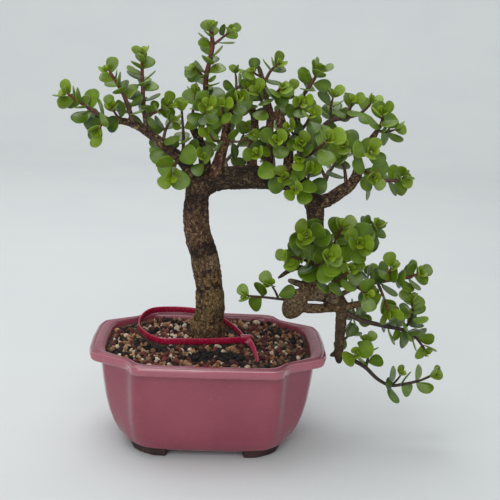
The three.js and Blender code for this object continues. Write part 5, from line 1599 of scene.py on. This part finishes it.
def leaf_finish():
    """Glossy jade-plant skin: dark green in old leaves to yellow-green in young ones, paler towards
    the middle and below, with a thin reddish rim on the youngest."""
    material, tree, shader = new_finish("jade_leaf")
    tone, youth, _ = noted_parts(tree, "kind")
    _, across, above = noted_parts(tree, "blade")
    from_middle = combine(tree, "ABSOLUTE", across)
    rim = product(tree, span_of(tree, from_middle, 0.36, 0.44, 0.0, 0.5), youth)
    place = object_place(tree)
    cloud = mottle(tree, place, 240.0, 0.35, 0.65)
    pits = mottle(tree, place, 2600.0, 0.4, 0.6)
    colour = layered(tree, blend_of(tree, tone, paint(32, 60, 4), paint(114, 146, 20)), (
        (youth, (150, 172, 24)),
        (span_of(tree, from_middle, 0.36, 0.0, 0.0, 0.35), (128, 156, 40)),
        (span_of(tree, above, 0.2, -0.6, 0.0, 0.45), (104, 130, 30)),
        (product(tree, cloud, 0.3), (52, 84, 12)),
        (rim, (150, 60, 40)),
    ))
    feed(tree, shader, {
        "Base Color": colour,
        "Roughness": span_of(tree, cloud, 0.0, 1.0, 0.3, 0.42),
        "Specular IOR Level": 0.4,
        "Coat Weight": 0.2,
        "Coat Roughness": 0.2,
        "Subsurface Weight": 0.12,
        "Subsurface Radius": (0.4, 0.9, 0.15),
        "Subsurface Scale": 0.002,
        "Normal": bump_of(tree, pits, 0.0001, 0.3),
    })
    return material


def twig_finish():
    """Young twig bark: grey-brown where it is older, and towards the tip dark brown on most stems and
    red-brown on some. Shaded stems are darker all over."""
    material, tree, shader = new_finish("twig_bark")
    darkness, age, redness = noted_parts(tree, "kind")
    place = object_place(tree)
    cloud = mottle(tree, place, 500.0, 0.35, 0.65)
    fleck = product(tree, mottle(tree, place, 800.0, 0.5, 0.62), 0.5)
    old = blend_of(tree, cloud, paint(86, 65, 47), paint(52, 38, 29))
    brown = blend_of(tree, cloud, paint(74, 52, 36), paint(40, 28, 22))
    red = blend_of(tree, cloud, paint(126, 54, 40), paint(92, 34, 30))
    young = blend_of(tree, redness, brown, red)
    colour = blend_of(tree, age, layered(tree, old, [(fleck, (150, 126, 94))]), young)
    feed(tree, shader, {
        "Base Color": layered(tree, colour, [(darkness, (26, 20, 16))]),
        "Roughness": 0.6,
        "Normal": bump_of(tree, cloud, 0.0002, 0.5),
    })
    return material


def twig_kinds(name, twigs, grids):
    """For each point of a stem's twigs how dark it is, how near the tip and how red the young bark is."""
    ages = []
    for twig, grid in zip(twigs, grids):
        age = np.linspace(0.1, 1.0, len(grid)) if twig[2] else np.zeros(len(grid))
        ages.append(np.append(np.repeat(age, grid.shape[1]), (age[0], age[-1])))
    ages = np.concatenate(ages)
    darkness, redness = DARK_STEMS.get(name, 0.0), 1.0 if name in RED_STEMS else 0.3
    return np.stack([np.full(len(ages), darkness), ages, np.full(len(ages), redness)], -1)


crown_leaves, crown_stems, crown_shares = grown_crown()
leaf_skin, twig_skin = leaf_finish(), twig_finish()
leaf_rng = np.random.default_rng(97)
leaf_faces = closed_faces(len(LEAF_STATIONS), LEAF_SIDES)
for name, twigs in SPRAYS.items():
    is_own = crown_stems == name
    tips = [leaf for twig in twigs if twig[2] for leaf in tip_leaves(leaf_rng, twig)]
    own = np.concatenate([crown_leaves[is_own], tips])
    youth = np.append(crown_shares[is_own] ** 2 * LAST_PAIR_YOUTH, np.full(len(tips), TIP_PAIR_YOUTH))
    youth = youth * leaf_rng.uniform(*YOUTH_SPREAD, len(own))
    tone = np.clip(leaf_rng.normal(*TONE_SPREAD, len(own)), 0, 1)
    points, blade = (with_poles(grid) for grid in leaf_grids(own))
    leaf_kinds = np.stack([tone, np.clip(youth, 0, 1), 0 * tone], -1)
    leaf_kinds = np.repeat(leaf_kinds, points.shape[1], axis=0)
    grids = [twig_grid(twig) for twig in twigs]
    stem_points, stem_faces = joined(grids)
    faces = copied(leaf_faces, *points.shape[:2]) + shifted(stem_faces, len(leaf_kinds))
    every = np.concatenate([points.reshape(-1, 3), stem_points])
    piece = new_piece("leafy_" + name, every, faces, [leaf_skin, twig_skin])
    kinds = np.concatenate([leaf_kinds, twig_kinds(name, twigs, grids)])
    note(piece, "kind", kinds, "FLOAT_VECTOR")
    note(piece, "blade", np.concatenate([blade.reshape(-1, 3), 0 * stem_points]), "FLOAT_VECTOR")
    is_twig = np.arange(len(faces)) >= len(faces) - len(stem_faces)
    piece.data.polygons.foreach_set("material_index", is_twig.astype(np.int32))
    rounding = piece.modifiers.new("rounding", "SUBSURF")
    rounding.levels = rounding.render_levels = 1
    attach(piece, "root")
    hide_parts("spray_" + name)


# The plant tag
# A loop tie of glossy magenta plastic lies on the soil round the trunk. Its strap stands on edge, runs
# through a small locking head at the front and ends in a free tail with fine teeth.
TAG_HEIGHT = 5.2
TAG_THICKNESS = 1.3
TAG_SECTION = 16
TAG_SQUARENESS = 0.4
TAG_HEAD_SIZES = (8.6, 6.0, 6.6)
TAG_HEAD_MIDDLE = np.array([29.6, -1.5, 80.8])
HEAD_SQUARENESS = 0.35
HEAD_STATIONS = np.array([
    [-0.36, 0.3], [-0.36, 0.52], [-0.5, 0.56], [-0.5, 0.86], [-0.46, 0.96], [-0.3, 1],
    [0.3, 1], [0.46, 0.96], [0.5, 0.86], [0.5, 0.56], [0.36, 0.52], [0.36, 0.3],
])
TOOTH_PITCH = 1.5
TOOTH_DEPTH = 0.22
TAIL_HEIGHTS = (1.15, 0.5)
TAIL_LEAN = np.radians(-42.0)


def strap_grid(route, step, teeth, heights=(1.0, 1.0), lean=0.0):
    """Upright or leaning band along a route, whose section is a squared-off oval, with its height as
    shares at its two ends. Teeth cross one side of it."""
    count = int(route_length(route) / step)
    t = np.linspace(0, 1, count)
    tangent = unit(even_curve(route, t + 0.01) - even_curve(route, t - 0.01))
    straight_up = unit(np.array((0, 0, 1.0)) - tangent * tangent[:, 2:])
    level = np.cross(tangent, straight_up)
    upright = np.cos(lean) * straight_up + np.sin(lean) * level
    side = np.cos(lean) * level - np.sin(lean) * straight_up
    turn = turns(TAG_SECTION)
    high = squared(np.cos(turn), TAG_SQUARENESS) * TAG_HEIGHT / 2
    thick = squared(np.sin(turn), TAG_SQUARENESS) * TAG_THICKNESS / 2
    size = np.minimum(1, 0.35 + 3.0 * np.minimum(t, 1 - t) * count * step / 4)
    tooth = np.clip(2.5 * np.sin(2 * np.pi * t * route_length(route) / TOOTH_PITCH), -1, 1) * TOOTH_DEPTH
    thick = (thick + teeth * tooth[:, None] * (np.sin(turn) > 0.5)) * size[:, None]
    high = high * (size * np.interp(t, (0, 1), heights))[:, None]
    middle = even_curve(route, t)[:, None]
    return middle + upright[:, None] * high[..., None] + side[:, None] * thick[..., None]


def head_grid():
    """Rounded block along X, with a shallow window sunk in each end: each station is a place along it
    and a share of its section."""
    turn = turns(24)
    x, size = np.split(HEAD_STATIONS, 2, axis=1)
    y = squared(np.cos(turn), HEAD_SQUARENESS) * TAG_HEAD_SIZES[1] / 2
    z = squared(np.sin(turn), HEAD_SQUARENESS) * TAG_HEAD_SIZES[2] / 2
    parts = np.broadcast_arrays(x * TAG_HEAD_SIZES[0], size * y, size * z)
    return np.stack(parts, -1) + TAG_HEAD_MIDDLE


def tag_finish():
    """Glossy magenta nylon with faint flow marks, painted darker towards its lower edge as painted shade,
    and a little dusty.
    """
    material, tree, shader = new_finish("magenta_nylon")
    place = object_place(tree)
    flow = mottle(tree, place, 120.0, 0.35, 0.65)
    dust = mottle(tree, place, 700.0, 0.5, 0.75)
    colour = blend_of(tree, flow, paint(150, 8, 50), paint(166, 14, 60))
    colour = layered(tree, colour, (
        # Painted shade: the lower half of the strap is darker.
        (span_of(tree, noted(tree, "across"), 0.3, -0.6, 0.0, 0.65), (96, 6, 34)),
        (product(tree, dust, 0.1), (150, 80, 84)),
    ))
    feed(tree, shader, {
        "Base Color": colour,
        "Roughness": span_of(tree, dust, 0.0, 1.0, 0.26, 0.55),
        "Coat Weight": 0.2,
        "Normal": bump_of(tree, flow, 0.0001, 0.4),
    })
    return material


tag_straps = [strap_grid(TAG_RING, 1.0, 0.0), strap_grid(TAG_TAIL, 0.25, 1.0, TAIL_HEIGHTS, TAIL_LEAN)]
tag_points, tag_faces = joined(tag_straps + [head_grid()])
tag = new_piece("plant_tag_strap", tag_points, tag_faces, [tag_finish()])
# Place across the strap's section, read by the material for painted shade on its lower half.
across_ring = np.cos(turns(TAG_SECTION))
tag_across = [np.append(np.tile(across_ring, len(grid)), (0, 0)) for grid in tag_straps]
head_count = len(tag_points) - sum(len(part) for part in tag_across)
note(tag, "across", np.concatenate([*tag_across, np.zeros(head_count)]))
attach(tag, "root")
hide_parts("plant_tag")


bpy.context.view_layer.update()
